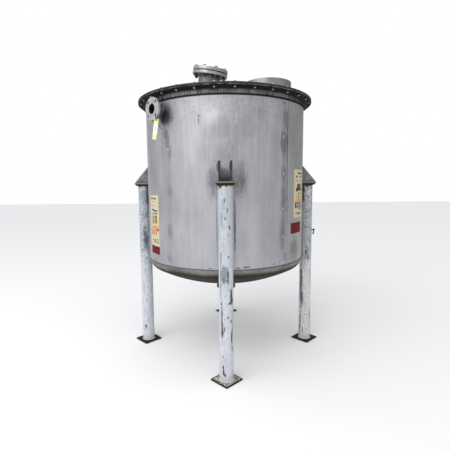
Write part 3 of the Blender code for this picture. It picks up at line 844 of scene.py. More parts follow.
def rod(radius, low, high, chamfer=0.0008):
    """A closed round rod from low to high, its two ends chamfered."""
    angle = np.linspace(0.0, math.tau, HEX_POINTS + 1)
    radii = np.array([0, radius - chamfer, radius, radius, radius - chamfer, 0])[:, None]
    heights = np.array([low, low, low + chamfer, high - chamfer, high, high])[:, None]
    return polar(radii, angle, heights)


def bolt(size, grip):
    """One bolt with its nut along +Z: it grips from z = 0 down to -grip. Its parts overlap inside."""
    washer = WASHER_THICKNESS
    under = -grip - washer
    return [
        rod(size["washer"], 0.0, washer, 0.0003),
        hexagon(size["flats"], washer, washer + size["head"]),
        rod(size["washer"], under, -grip, 0.0003),
        hexagon(size["flats"], under - size["nut"], under),
        rod(size["shank"], under - size["nut"] - size["end"], washer),
    ]


def around(patches, count, radius, phase=0.0):
    """Copies of the patches stood on a circle about +Z, the first at the phase."""
    copies = []
    for angle in phase + math.tau * np.arange(count) / count:
        matrix = np.array([
            [math.cos(angle), -math.sin(angle), 0], [math.sin(angle), math.cos(angle), 0], [0, 0, 1],
        ])
        copies += [(patch + np.array([radius, 0.0, 0.0])) @ matrix.T for patch in patches]
    return copies


def bolt_steel(name):
    """Dull zinc with brownish spots. Gives the material, its tree, its shader and the colour."""
    material, tree, shader = plain_material(name, ZINC, 0.45, 0.85)
    spots = clouds(tree, 150.0)
    colour = blend(tree, between(tree, spots, 0.45, 0.9), ZINC, ZINC_SPOTS)
    dress(tree, shader, colour, bump=(spots, 0.0002, 0.3))
    return material, tree, shader, colour


rim_zinc, tree, shader, colour = bolt_steel("rim_zinc")
place = place_round(tree)
# The washer, nut and thread under the ring are painted nearly black as the shade under it.
colour = blend(tree, between(tree, place["Height"], *SHADE_UNDER_RING, 0.0, 0.85), colour, SHADE_AND_GRIME_BLACK)
clean = between(tree, maths(tree, "ABSOLUTE", place["Azimuth"]), *WEATHERED, 1.0, 0.25)
colour = covered(tree, colour, ZINC, between(tree, place["Height"], *THREAD_END), clean)
dress(tree, shader, colour)
rim_bolt = [patch + LID_TOP * UP for patch in bolt(HALF_INCH, LID_TOP - RING_UNDER)]
rim_bolts = around(rim_bolt, RIM_BOLTS, RIM_BOLT_CIRCLE, math.pi / RIM_BOLTS - math.pi / 2)
piece("rim_bolts", rim_bolts, rim_zinc)


# Manway
# A short open collar of rolled stainless plate, welded upright on the lid, with its top edge rounded over.
MANWAY_CENTRE = (0.424, 0.020)
MANWAY_RADIUS = 0.2286
MANWAY_WALL = 0.0063
MANWAY_TOP = 2.597
LID_WELD = 0.0050
COLLAR_COLOUR = (0.235, 0.232, 0.240)
LIP_DIRT = (0.05, 0.05, 0.055)

collar_steel, tree, shader = plain_material("collar_steel", COLLAR_COLOUR, 0.45, 0.9)
place = place_round(tree, MANWAY_CENTRE)
streaks = grain(tree, 40.0, 90.0)
colour = tinted(tree, COLLAR_COLOUR, clouds(tree, 9.0), 0.15)
colour = tinted(tree, colour, streaks, 0.08)
lip = between(tree, place["Height"], MANWAY_TOP - 0.004, MANWAY_TOP - 0.001)
colour = covered(tree, colour, LIP_DIRT, lip, 0.6)
dress(tree, shader, colour, (streaks, 0.34, 0.48), (streaks, 0.0003, 0.25))
manway_bore = MANWAY_RADIUS - MANWAY_WALL
collar_profile = eased(
    [(MANWAY_RADIUS, MANWAY_TOP), (MANWAY_RADIUS, LID_TOP),
     (manway_bore, LID_TOP), (manway_bore, MANWAY_TOP)],
    [0.0026, 0.0002, 0.0002, 0.0026], 6,
)
collar = turned(collar_profile, 192) + np.array([*MANWAY_CENTRE, 0.0])
piece("collar", [collar], collar_steel, ["manway_collar"])
manway_weld, out = circle_path(MANWAY_RADIUS + 0.001, LID_TOP, MANWAY_CENTRE)
piece("collar_weld", [bead(manway_weld, out, LID_WELD)], weld_metal)


# Angled nozzle
# A pipe neck welded into the lid so that it leans in over the tank. Its slip-on flange is closed by a
# machined blind flange on a thin gasket, held by eight three-quarter-inch bolts.
JOINT_CENTRE = np.array([-0.141, 0.060, 2.721])
JOINT_LEAN_RIGHT = math.radians(8.5)
JOINT_LEAN_FRONT = math.radians(7.8)
JOINT_GASKET = 0.0032
NECK_RADIUS = 0.1095
NECK_WALL = 0.0064
NECK_WELD = 0.0060
FLANGE_WELD = 0.0050
WELD_GAP = 0.0003
BIG_FLANGE_RADIUS = 0.1715
BIG_FLANGE_THICKNESS = 0.0310
BIG_FACE_RADIUS = 0.1350
BIG_FACE_HEIGHT = 0.0020
BIG_BOLTS = 8
BIG_BOLT_CIRCLE = 0.14925
THREE_QUARTER = {
    "shank": 0.0095, "flats": 0.0143, "head": 0.0120, "nut": 0.0165, "washer": 0.0180, "end": 0.0060,
}
FLANGE_EASE = 0.0030
FACE_EASE = 0.0004
MACHINED = (0.43, 0.43, 0.43)
MACHINED_DULL = (0.10, 0.10, 0.095)
NECK_COLOUR = (0.20, 0.195, 0.165)


def stood(patches, centre, along, across=None):
    """The patches turned so that their +Z lies along a direction, and moved from the origin to a centre.

    `across` is where their +X then points, if that matters.
    """
    upwards = Vector(along).normalized()
    if across is None:
        matrix = np.array(Vector((0.0, 0.0, 1.0)).rotation_difference(upwards).to_matrix())
    else:
        sideways = Vector(across).normalized()
        matrix = np.array(Matrix((sideways, upwards.cross(sideways), upwards)).transposed())
    moved = []
    for patch in patches:
        grid, *dropped = patch if isinstance(patch, tuple) else (patch,)
        grid = grid @ matrix.T + centre
        moved.append((grid, *dropped) if dropped else grid)
    return moved


joint_axis = np.array([math.tan(JOINT_LEAN_RIGHT), -math.tan(JOINT_LEAN_FRONT), 1.0])
joint_axis /= np.linalg.norm(joint_axis)
joint_turn = np.array(Vector((0.0, 0.0, 1.0)).rotation_difference(Vector(joint_axis)).to_matrix())


def shaded_below(tree, colour, start, end):
    """The colour turned nearly black, as painted shade, from `start` to `end` below the middle of the joint,
    along its axis.
    """
    spot = node(tree, "TexCoord").outputs["Object"]
    offset = vectors(tree, "SUBTRACT", spot, tuple(JOINT_CENTRE))
    along = vectors(tree, "DOT_PRODUCT", offset, tuple(-joint_axis))
    return blend(tree, between(tree, along, start, end, 0.0, 0.85), colour, SHADE_AND_GRIME_BLACK)


machined, tree, shader = plain_material("machined_steel", MACHINED, 0.34, 0.95)
stains = clouds(tree, 26.0)
colour = tinted(tree, MACHINED, stains, 0.22)
colour = covered(tree, colour, MACHINED_DULL, flecks(tree, 30.0, 0.30, 0.2), 0.35)
# The slip-on flange's back is painted nearly black as the shade under it.
colour = shaded_below(tree, colour, 0.026, 0.034)
dress(tree, shader, colour, (stains, 0.30, 0.46))

neck_steel, tree, shader = plain_material("neck_steel", NECK_COLOUR, 0.45, 0.9)
colour = tinted(tree, NECK_COLOUR, clouds(tree, 18.0), 0.25)
dress(tree, shader, colour, bump=(clouds(tree, 150.0), 0.0003, 0.3))


def flange_section(bore, back, face):
    """A flange's section from its bore outwards: its raised face at z = 0, its back and its ring's face."""
    return [
        (bore, 0.0), (BIG_FACE_RADIUS, 0.0), (BIG_FACE_RADIUS, face), (BIG_FLANGE_RADIUS, face),
        (BIG_FLANGE_RADIUS, back), (bore, back),
    ]


below = JOINT_CENTRE - joint_axis * JOINT_GASKET / 2
over = JOINT_CENTRE + joint_axis * JOINT_GASKET / 2
top = BIG_FLANGE_THICKNESS + BIG_FACE_HEIGHT
slip_on_section = eased(
    flange_section(NECK_RADIUS + WELD_GAP, -top, -BIG_FACE_HEIGHT),
    [FACE_EASE, FACE_EASE, FACE_EASE, FLANGE_EASE, FLANGE_EASE, 0.0010],
)
slip_on = stood([turned(slip_on_section, 192)], below, joint_axis)
piece("slip_on_flange", slip_on, machined, ["roof_flange"])
blind_section = eased(
    flange_section(0.0, top, BIG_FACE_HEIGHT), [0.0, FACE_EASE, FACE_EASE, FLANGE_EASE, FLANGE_EASE, 0.0]
)[:-1]
blind = stood([turned(blind_section, 192)], over, joint_axis)
piece("blind_cover", blind, machined, ["blind_flange"])
half_gasket = JOINT_GASKET / 2
seal_edge = BIG_FACE_RADIUS + 0.003
seal_section = eased(
    [(seal_edge, half_gasket), (seal_edge, -half_gasket),
     (NECK_RADIUS, -half_gasket), (NECK_RADIUS, half_gasket)],
    0.0006,
)
seal = stood([turned(seal_section, 128)], JOINT_CENTRE, joint_axis)
piece("joint_seal", seal, black_rubber, ["roof_gasket"])

azimuth = np.linspace(0.0, math.tau, 129)
neck_rows = []
for radius in (NECK_RADIUS, NECK_RADIUS - NECK_WALL):
    circle = on_circle(radius, azimuth, 0.0)
    down = (LID_TOP - below[2] - circle @ joint_turn[2]) / joint_turn[2, 2]
    head_end = circle - BIG_FACE_HEIGHT * UP
    foot_end = circle + down[:, None] * UP
    neck_rows += [head_end, foot_end] if radius == NECK_RADIUS else [foot_end, head_end]
neck_rows.append(neck_rows[0])
neck_grid = np.stack(neck_rows)
piece("leaning_neck", stood([neck_grid], below, joint_axis), neck_steel, ["roof_neck"])
neck_foot = neck_grid[1] @ joint_turn.T + below
flange_back, out = circle_path(NECK_RADIUS, -top)
neck_welds = [
    bead(neck_foot, on_circle(1.0, azimuth, 0.0), NECK_WELD),
    bead(flange_back @ joint_turn.T + below, out @ joint_turn.T, FLANGE_WELD),
]
piece("neck_welds", neck_welds, weld_metal)
big_bolt = [patch + (top + half_gasket) * UP for patch in bolt(THREE_QUARTER, 2 * top + JOINT_GASKET)]
big_bolts = around(big_bolt, BIG_BOLTS, BIG_BOLT_CIRCLE, math.pi / BIG_BOLTS)
joint_zinc, tree, shader, colour = bolt_steel("joint_zinc")
# The bolts are painted darker downwards, nearly black at their nuts, as the shade under the joint.
dress(tree, shader, shaded_below(tree, colour, 0.0, 0.034))
piece("joint_bolts", stood(big_bolts, JOINT_CENTRE, joint_axis), joint_zinc)


# Side branch and drain
# Two short three-inch pipes with slip-on flanges whose four bolt holes are open. One stands level out of
# the wall under the rim, the other points down from the middle of the bottom.
SIDE_FACE = 0.848
DRAIN_FACE = 0.5585
SMALL_FLANGE_RADIUS = 0.09525
SMALL_FLANGE_THICKNESS = 0.0239
SMALL_FACE_RADIUS = 0.0635
SMALL_FACE_HEIGHT = 0.0016
SMALL_PIPE_RADIUS = 0.04445
SMALL_BOLT_CIRCLE = 0.0762
SMALL_BOLT_HOLE = 0.0095
SMALL_EDGE = 0.0020
BOLT_HOLES = 4
BOLT_WINDOW = 0.0123
BRANCH_WELD = 0.0045
BRANCH_COLOUR = (0.48, 0.48, 0.495)
BRANCH_METALLIC = 0.85
SCUFF_GREY = (0.08, 0.08, 0.085)
BORE_SHADE = (0.008, 0.008, 0.009)
DRAIN_BLACK = (0.020, 0.019, 0.018)


def drilled_flange():
    """A slip-on flange with its raised face at z = 0.

    Its two ring faces are grids, round by out, with the bolt holes opened in them. Profiles carried round
    +Z close it outside and inside the ring.
    """
    round_trip = math.tau * SMALL_BOLT_CIRCLE
    centres = (np.arange(BOLT_HOLES) + 0.5) * round_trip / BOLT_HOLES
    lines = [np.linspace(0.0, centres[0] - BOLT_WINDOW, 7)[:-1]]
    for number, centre in enumerate(centres):
        last = number + 1 == BOLT_HOLES
        after = round_trip if last else centres[number + 1] - BOLT_WINDOW
        lines.append(centre + np.linspace(-BOLT_WINDOW, BOLT_WINDOW, HOLE_LINES + 1))
        lines.append(np.linspace(centre + BOLT_WINDOW, after, 13)[1 : None if last else -1])
    u = np.concatenate(lines)
    inner = SMALL_BOLT_CIRCLE - BOLT_WINDOW
    outer = SMALL_BOLT_CIRCLE + BOLT_WINDOW
    v = np.linspace(inner, outer, HOLE_LINES + 1)
    front = -SMALL_FACE_HEIGHT
    back = -(SMALL_FLANGE_THICKNESS + SMALL_FACE_HEIGHT)
    grid_u, grid_v = np.meshgrid(u, v)
    opened = np.zeros((len(v) - 1, len(u) - 1), bool)
    for centre in centres:
        grid_u, grid_v, hole = open_hole(
            grid_u, grid_v, centre, SMALL_BOLT_CIRCLE, SMALL_BOLT_HOLE, BOLT_WINDOW
        )
        opened |= hole
    patches = [(polar(grid_v, grid_u / SMALL_BOLT_CIRCLE, z), opened) for z in (front, back)]
    for centre in centres:
        edge_u, edge_v = hole_edge(centre, SMALL_BOLT_CIRCLE, SMALL_BOLT_HOLE)
        patches.append(np.stack([polar(edge_v, edge_u / SMALL_BOLT_CIRCLE, z) for z in (front, back)]))
    eased_by = SMALL_FLANGE_RADIUS - SMALL_EDGE
    bend = 0.3 * SMALL_EDGE
    rim = [
        (outer, front), (eased_by, front), (SMALL_FLANGE_RADIUS - bend, front - bend),
        (SMALL_FLANGE_RADIUS, front - SMALL_EDGE), (SMALL_FLANGE_RADIUS, back + SMALL_EDGE),
        (SMALL_FLANGE_RADIUS - bend, back + bend), (eased_by, back), (outer, back),
    ]
    bore = SMALL_PIPE_RADIUS + WELD_GAP
    middle = [
        (inner, front), (SMALL_FACE_RADIUS, front), (SMALL_FACE_RADIUS, -0.0003),
        (SMALL_FACE_RADIUS - 0.0003, 0.0), (bore + 0.0006, 0.0), (bore, -0.0006), (bore, back), (inner, back),
    ]
    for profile in (rim, middle):
        radii, heights = np.array(profile).T[:, :, None]
        patches.append(polar(radii, u / SMALL_BOLT_CIRCLE, heights))
    return patches


def branch_pipe(end_outer, end_inner):
    """A pipe from inside its flange's face down to its ends, given as heights at each angle."""
    walls = (
        (SMALL_PIPE_RADIUS, (-SMALL_FACE_HEIGHT, end_outer)), (BRANCH_BORE, (end_inner, -SMALL_FACE_HEIGHT)),
    )
    rows = [polar(radius, pipe_angles, height) for radius, heights in walls for height in heights]
    return np.stack([*rows, rows[0]])


def fit_branch(name, nodes, place, pipe, flange_steel, pipe_steel, weld_steel):
    """A drilled flange, its pipe and their two welds. The place is the face's middle, way out and across."""
    foot = polar(SMALL_PIPE_RADIUS, pipe_angles, -(SMALL_FLANGE_THICKNESS + SMALL_FACE_HEIGHT))
    out = polar(1.0, pipe_angles, 0.0)
    welds = [bead(path, out, BRANCH_WELD) for path in (pipe[1], foot)]
    piece(f"{name}_flange", stood(drilled_flange(), *place), flange_steel, nodes[:1])
    piece(f"{name}_pipe", stood([pipe], *place), pipe_steel, nodes[1:])
    piece(f"{name}_welds", stood(welds, *place), weld_steel)


side_out = np.array([math.sin(SIDE_AZIMUTH), -math.cos(SIDE_AZIMUTH), 0.0])
side_across = np.array([-side_out[1], side_out[0], 0.0])
side_face = side_out * SIDE_FACE + SIDE_HEIGHT * UP
pipe_angles = np.linspace(0.0, math.tau, 97)

# How far a point is from the branch's axis, and from the middle of the nearest bolt hole
BRANCH_PLACE, given, result = new_group(
    "branch place", [("Centre", "Vector"), ("Across", "Vector"), ("Up", "Vector")],
    [("Bore", "Float"), ("Hole", "Float")],
)
spot = node(BRANCH_PLACE, "TexCoord").outputs["Object"]
offset = vectors(BRANCH_PLACE, "SUBTRACT", spot, given["Centre"])
sides = [
    maths(BRANCH_PLACE, "ABSOLUTE", vectors(BRANCH_PLACE, "DOT_PRODUCT", offset, given[name]))
    for name in ("Across", "Up")
]
flat = node(BRANCH_PLACE, "CombineXYZ", {0: sides[0], 1: sides[1]}).outputs[0]
first_hole = (SMALL_BOLT_CIRCLE * math.sqrt(0.5), SMALL_BOLT_CIRCLE * math.sqrt(0.5), 0.0)
from_hole = vectors(BRANCH_PLACE, "SUBTRACT", flat, first_hole)
for name, line in (("Bore", flat), ("Hole", from_hole)):
    BRANCH_PLACE.links.new(vectors(BRANCH_PLACE, "LENGTH", line), result.inputs[name])


def branch_finish(name, colour, bore):
    """Scuffed steel, painted black as shade inside the bore, up to a radius, and inside the bolt holes."""
    material, tree, shader = plain_material(name, colour, 0.42, BRANCH_METALLIC)
    values = {"Centre": tuple(side_face), "Across": tuple(side_across), "Up": (0.0, 0.0, 1.0)}
    place = use(tree, BRANCH_PLACE, values)
    stains = clouds(tree, 35.0)
    shade = tinted(tree, colour, stains, 0.20)
    shade = covered(tree, shade, SCUFF_GREY, flecks(tree, 50.0, 0.20, 0.15), 0.35)
    # Inside the bore and the bolt holes the steel is painted black and dull, as the shade there.
    inside = maths(
        tree, "MAXIMUM", between(tree, place["Bore"], bore + 0.0004, bore + 0.0001),
        between(tree, place["Hole"], SMALL_BOLT_HOLE + 0.0008, SMALL_BOLT_HOLE + 0.0003),
    )
    shade = blend(tree, inside, shade, BORE_SHADE)
    dress(tree, shader, shade, (stains, 0.38, 0.58), (clouds(tree, 200.0), 0.0002, 0.3))
    tree.links.new(between(tree, inside, 0.0, 1.0, BRANCH_METALLIC, 0.0), shader.inputs["Metallic"])
    return material


branch_steel = branch_finish("branch_steel", BRANCH_COLOUR, SMALL_PIPE_RADIUS)
branch_pipe_steel = branch_finish("branch_pipe_steel", NECK_COLOUR, BRANCH_BORE)
drain_steel, tree, shader = plain_material("drain_steel", DRAIN_BLACK, 0.7, 0.3)
colour = tinted(tree, DRAIN_BLACK, clouds(tree, 50.0), 0.5)
dress(tree, shader, colour, bump=(clouds(tree, 200.0), 0.0003, 0.4))


def to_wall(radius):
    """The heights, from the flange's face, where a pipe of that radius meets the round wall, at each angle.

    A point at an angle a is r cos(a) to the side, where the wall stands back by sqrt(R^2 - (r cos a)^2).
    """
    return np.sqrt(WALL_RADIUS**2 - (radius * np.cos(pipe_angles)) ** 2) - SIDE_FACE


side_pipe = branch_pipe(to_wall(SMALL_PIPE_RADIUS), to_wall(BRANCH_BORE))
side_place = (side_face, side_out, side_across)
fit_branch(
    "side_branch", ["side_flange", "side_neck"], side_place, side_pipe,
    branch_steel, branch_pipe_steel, weld_metal,
)
to_dish = DRAIN_FACE - dish(0.0)[-1, 1]
drain_pipe = branch_pipe(to_dish, to_dish)
drain_place = (DRAIN_FACE * UP, -UP, (1.0, 0.0, 0.0))
fit_branch(
    "drain_outlet", ["drain_flange", "drain_neck"], drain_place, drain_pipe,
    drain_steel, drain_steel, drain_steel,
)


# Legs
# Four lengths of four-inch steel pipe with white brushed-on paint, long worn: chipped to dark metal, rubbed
# through to blue-grey in patches, cream and rusty at the ends.
LEG_COUNT = 4
LEG_CIRCLE = 0.8215
LEG_RADIUS = 0.0585
LEG_WALL = 0.0060
LEG_FOOT = 0.0123
LEG_HEAD = 1.6107
PAINT = (0.58, 0.60, 0.64)
PAINT_CREAM = (0.60, 0.58, 0.50)
PAINT_NEUTRAL = (0.60, 0.60, 0.585)
RUBBED = (0.20, 0.235, 0.28)
# The chipped and brown colours also paint shade at the top of leg 2, under its lug.
CHIPPED_AND_SHADE = (0.035, 0.040, 0.050)
CREAM_HEAD = (1.600, 1.630)
CREAM_FOOT = (0.055, 0.030)
SPECKLED_FROM = (0.6, 1.1)
GREEN = (0.02, 0.075, 0.06)
BROWN_RUST_AND_SHADE = (0.060, 0.036, 0.020)

# Each leg's paint, how much of it is speckled, how much of its upper part is dulled, and its worn places:
# azimuth round the leg in degrees, height, half width in degrees, half height, softness, strength, colour
LEG_WEAR = (
    (PAINT, 0.12, 0.34, (
        (-8.0, 1.490, 8.0, 0.022, 0.5, 0.8, CHIPPED_AND_SHADE), (13.0, 1.416, 4.0, 0.022, 0.4, 0.8, CHIPPED_AND_SHADE),
        (-33.0, 1.360, 18.0, 0.110, 0.9, 0.65, RUBBED), (-4.0, 1.350, 6.0, 0.014, 0.4, 0.9, CHIPPED_AND_SHADE),
        (31.0, 1.279, 8.0, 0.020, 0.4, 0.9, CHIPPED_AND_SHADE), (22.0, 1.051, 5.0, 0.010, 0.3, 1.0, CHIPPED_AND_SHADE),
        (-41.0, 1.050, 5.0, 0.060, 0.4, 0.9, CHIPPED_AND_SHADE), (-14.0, 0.905, 30.0, 0.080, 0.30, 1.00, RUBBED),
        (16.0, 0.890, 12.0, 0.070, 0.4, 0.8, CHIPPED_AND_SHADE), (-45.0, 0.850, 6.0, 0.250, 0.6, 0.9, CHIPPED_AND_SHADE),
        (-20.0, 0.870, 16.0, 0.030, 0.8, 0.5, CHIPPED_AND_SHADE), (-20.0, 1.460, 22.0, 0.070, 0.9, 0.5, RUBBED),
        (43.0, 0.735, 14.0, 0.060, 0.35, 1.0, GREEN), (48.0, 0.692, 20.0, 0.036, 0.4, 1.0, GREEN),
        (28.0, 0.672, 16.0, 0.014, 0.4, 0.9, GREEN), (14.0, 0.556, 12.0, 0.008, 0.3, 0.9, GREEN),
        (-38.0, 0.540, 9.0, 0.220, 0.5, 0.9, CHIPPED_AND_SHADE), (-35.0, 0.440, 12.0, 0.070, 0.4, 0.9, CHIPPED_AND_SHADE),
        (54.0, 0.450, 5.0, 0.190, 0.6, 0.9, CHIPPED_AND_SHADE), (41.0, 0.524, 7.0, 0.020, 0.4, 1.0, CHIPPED_AND_SHADE),
        (46.0, 0.385, 9.0, 0.085, 0.5, 1.0, CHIPPED_AND_SHADE), (50.0, 0.300, 8.0, 0.040, 0.5, 0.8, CHIPPED_AND_SHADE),
        (-14.0, 0.459, 7.0, 0.020, 0.4, 0.9, CHIPPED_AND_SHADE), (-28.0, 0.137, 8.0, 0.024, 0.3, 1.0, CHIPPED_AND_SHADE),
        (-25.0, 0.096, 9.0, 0.026, 0.3, 1.0, CHIPPED_AND_SHADE), (-12.0, 0.070, 7.0, 0.014, 0.3, 1.0, CHIPPED_AND_SHADE),
        (-29.0, 0.225, 6.0, 0.018, 0.4, 0.8, CHIPPED_AND_SHADE), (-14.0, 0.205, 6.0, 0.016, 0.5, 0.5, RUBBED),
        (-46.0, 1.600, 20.0, 0.020, 0.3, 0.9, BROWN_RUST_AND_SHADE), (6.0, 1.604, 9.0, 0.012, 0.3, 0.9, BROWN_RUST_AND_SHADE),
    )),
    (PAINT_NEUTRAL, 0.42, 0.0, (
        # Leg 2's first five marks, at its top mostly towards the wall, are rust deepened by painted shade
        # under its lug.
        (-70.0, 1.560, 34.0, 0.060, 0.7, 0.95, BROWN_RUST_AND_SHADE), (-20.0, 1.600, 30.0, 0.030, 0.8, 0.90, BROWN_RUST_AND_SHADE),
        (-10.0, 1.610, 90.0, 0.022, 0.5, 0.95, CHIPPED_AND_SHADE), (-46.0, 1.575, 26.0, 0.060, 0.6, 0.90, CHIPPED_AND_SHADE),
        (-48.0, 1.500, 28.0, 0.150, 0.7, 0.8, BROWN_RUST_AND_SHADE), (0.0, 0.905, 32.0, 0.075, 0.6, 0.9, RUBBED),
        (-8.0, 0.930, 14.0, 0.030, 0.5, 0.9, CHIPPED_AND_SHADE), (18.0, 0.870, 12.0, 0.024, 0.5, 0.9, CHIPPED_AND_SHADE),
        (-50.0, 0.640, 16.0, 0.170, 0.5, 0.9, CHIPPED_AND_SHADE), (-46.0, 0.440, 22.0, 0.120, 0.6, 0.85, CHIPPED_AND_SHADE),
        (-64.0, 0.540, 14.0, 0.280, 0.6, 0.75, CHIPPED_AND_SHADE), (-60.0, 0.230, 13.0, 0.130, 0.6, 0.75, CHIPPED_AND_SHADE),
        (44.0, 0.200, 8.0, 0.110, 0.6, 0.7, CHIPPED_AND_SHADE), (8.0, 0.960, 26.0, 0.040, 0.5, 0.7, RUBBED),
        (0.0, 0.272, 30.0, 0.0035, 0.3, 0.7, CHIPPED_AND_SHADE), (50.0, 0.290, 9.0, 0.060, 0.5, 0.8, CHIPPED_AND_SHADE),
        (72.0, 0.500, 10.0, 0.500, 0.7, 0.55, BROWN_RUST_AND_SHADE), (-31.0, 0.113, 5.0, 0.040, 0.4, 1.0, CHIPPED_AND_SHADE),
        (-67.0, 0.120, 10.0, 0.090, 0.5, 1.0, CHIPPED_AND_SHADE), (20.0, 1.200, 60.0, 0.400, 0.8, 0.30, RUBBED),
        (40.0, 0.700, 14.0, 0.120, 0.7, 0.50, RUBBED),
    )),
    (PAINT, 0.25, 0.15, (
        (10.0, 1.300, 40.0, 0.160, 0.8, 0.5, RUBBED), (-40.0, 0.700, 20.0, 0.120, 0.6, 0.7, RUBBED),
        (30.0, 0.400, 9.0, 0.050, 0.4, 0.9, CHIPPED_AND_SHADE), (-100.0, 1.000, 12.0, 0.200, 0.6, 0.7, CHIPPED_AND_SHADE),
        (150.0, 0.600, 12.0, 0.120, 0.5, 0.8, CHIPPED_AND_SHADE), (120.0, 1.200, 30.0, 0.100, 0.8, 0.6, RUBBED),
        (-160.0, 0.300, 9.0, 0.080, 0.5, 0.9, CHIPPED_AND_SHADE),
    )),
    (PAINT, 0.42, 0.10, (
        (20.0, 1.500, 60.0, 0.110, 0.6, 0.85, RUBBED), (48.0, 1.500, 26.0, 0.170, 0.7, 0.85, CHIPPED_AND_SHADE),
        (0.0, 1.450, 20.0, 0.060, 0.8, 0.60, RUBBED), (-30.0, 1.520, 10.0, 0.050, 0.7, 0.60, RUBBED),
        (10.0, 1.300, 44.0, 0.090, 0.9, 0.55, RUBBED), (30.0, 1.330, 22.0, 0.060, 0.9, 0.50, CHIPPED_AND_SHADE),
        (14.0, 1.090, 40.0, 0.130, 0.5, 0.95, RUBBED), (2.0, 1.180, 30.0, 0.040, 0.6, 0.80, RUBBED),
        (20.0, 1.060, 30.0, 0.090, 0.6, 0.75, CHIPPED_AND_SHADE), (2.0, 1.130, 14.0, 0.050, 0.5, 0.70, CHIPPED_AND_SHADE),
        (0.0, 1.010, 20.0, 0.030, 0.4, 0.70, RUBBED), (30.0, 0.960, 12.0, 0.050, 0.5, 0.70, RUBBED),
        (12.0, 0.880, 5.5, 0.010, 0.3, 1.0, CHIPPED_AND_SHADE), (3.0, 0.833, 5.0, 0.008, 0.3, 0.9, CHIPPED_AND_SHADE),
        (0.0, 0.763, 6.0, 0.009, 0.3, 1.0, CHIPPED_AND_SHADE), (-22.0, 0.580, 10.0, 0.110, 0.8, 0.5, RUBBED),
        (-13.0, 0.160, 10.0, 0.024, 0.4, 0.95, CHIPPED_AND_SHADE), (-26.0, 0.132, 11.0, 0.018, 0.4, 0.8, RUBBED),
        (-62.0, 0.450, 8.0, 0.350, 0.6, 0.5, RUBBED), (-58.0, 1.050, 10.0, 0.250, 0.7, 0.5, RUBBED),
    )),
)


def leg_azimuth(number):
    """The azimuth of a leg, at its number of quarter turns from the front."""
    return number * math.tau / LEG_COUNT


def leg_centre(number):
    """The middle of a leg, on the circle of legs at its azimuth."""
    return on_circle(LEG_CIRCLE, leg_azimuth(number), 0.0)


def leg_paint(number, paint, speckled, dulled, wear):
    """White paint, streaked and yellowed at the ends, speckled with chips, with the leg's own worn places."""
    material, tree, shader = plain_material(f"leg_paint_{number + 1}", paint, 0.5)
    place = place_round(tree, tuple(leg_centre(number)[:2]))
    cover = clouds(tree, 14.0, stretch=3.0)
    mottle = clouds(tree, 42.0, stretch=1.6)
    streaks = grain(tree, 110.0, 5.0)
    colour = tinted(tree, paint, cover, 0.08)
    colour = tinted(tree, colour, streaks, 0.09)
    colour = blend(tree, between(tree, mottle, 0.45, 1.0, 0.0, 0.42), colour, RUBBED)
    if dulled:
        colour = blend(tree, between(tree, place["Height"], 0.1, 1.5, 0.0, dulled), colour, RUBBED)
    height = maths(tree, "ADD", place["Height"], maths(tree, "MULTIPLY", clouds(tree, 30.0), 0.04))
    ends = [between(tree, height, *heights) for heights in (CREAM_HEAD, CREAM_FOOT)]
    ends = maths(tree, "MAXIMUM", *ends, clamp=True)
    colour = blend(tree, ends, colour, PAINT_CREAM)
    upper = between(tree, place["Height"], *SPECKLED_FROM, 0.35 * speckled, speckled)
    colour = covered(tree, colour, RUBBED, flecks(tree, 85.0, upper, 0.08), 0.85)
    colour = covered(tree, colour, RUBBED, flecks(tree, 150.0, 0.20, 0.06), 0.7)
    colour = add_marks(tree, place, colour, wear, 1.3)
    chips = flecks(tree, 75.0, maths(tree, "MULTIPLY", upper, 0.60), 0.02, stretch=1.8)
    colour = blend(tree, chips, colour, CHIPPED_AND_SHADE)
    dress(tree, shader, colour, (cover, 0.42, 0.62), (maths(tree, "SUBTRACT", streaks, chips), 0.0004, 0.5))
    return material


leg_bore = LEG_RADIUS - LEG_WALL
leg_section = eased(
    [(LEG_RADIUS, LEG_HEAD), (LEG_RADIUS, LEG_FOOT), (leg_bore, LEG_FOOT), (leg_bore, LEG_HEAD)], 0.0008
)
paints = []
for number, looks in enumerate(LEG_WEAR):
    paints.append(leg_paint(number, *looks))
    pipe = turned(leg_section, 96) + leg_centre(number)
    piece(f"leg_pipe_{number + 1}", [pipe], paints[number], [f"leg_{number + 1}"])


# Foot plates
# A square of thick plate under each leg, turned so that a corner points straight out. The front one still
# has its paint on top, the others are bare and rusted dark brown.
FOOT_TIP = 0.134
FOOT_THICKNESS = 0.012
FOOT_EDGE = 0.0012
LEG_WELD = 0.0060
# The dark rust colour also paints the shade under the lugs.
DARK_RUST_AND_SHADE = (0.022, 0.014, 0.010)
RUST_ORANGE = (0.120, 0.050, 0.020)
FOOT_PAINT = (0.62, 0.60, 0.55)


def plate(outline, low, high, edge):
    """A flat closed plate from a counter-clockwise outline, star-shaped about its middle, edges rounded.

    Each ring of points is the outline moved inwards by e (n1 + n2) / (1 + n1.n2), with n1 and n2 the
    outward directions of a point's two sides.
    """
    outline = np.asarray(outline, float)
    side = np.roll(outline, -1, 0) - outline
    outline = outline[np.linalg.norm(side, axis=1) > 1e-7]
    side = np.roll(outline, -1, 0) - outline
    normal = np.stack([side[:, 1], -side[:, 0]], -1) / np.linalg.norm(side, axis=1, keepdims=True)
    other = np.roll(normal, 1, 0)
    inwards = -(normal + other) / (1.0 + np.sum(normal * other, axis=1, keepdims=True))
    middle = outline.mean(0)
    rings = []
    for share, height in (
        (None, low), (1.0, low), (0.3, low + 0.3 * edge), (0.0, low + edge), (0.0, high - edge),
        (0.3, high - 0.3 * edge), (1.0, high), (None, high),
    ):
        ring = middle + 0 * outline if share is None else outline + inwards * edge * share
        ring = np.concatenate([ring, ring[:1]])
        rings.append(np.column_stack([ring, np.full(len(ring), height)]))
    return np.stack(rings)


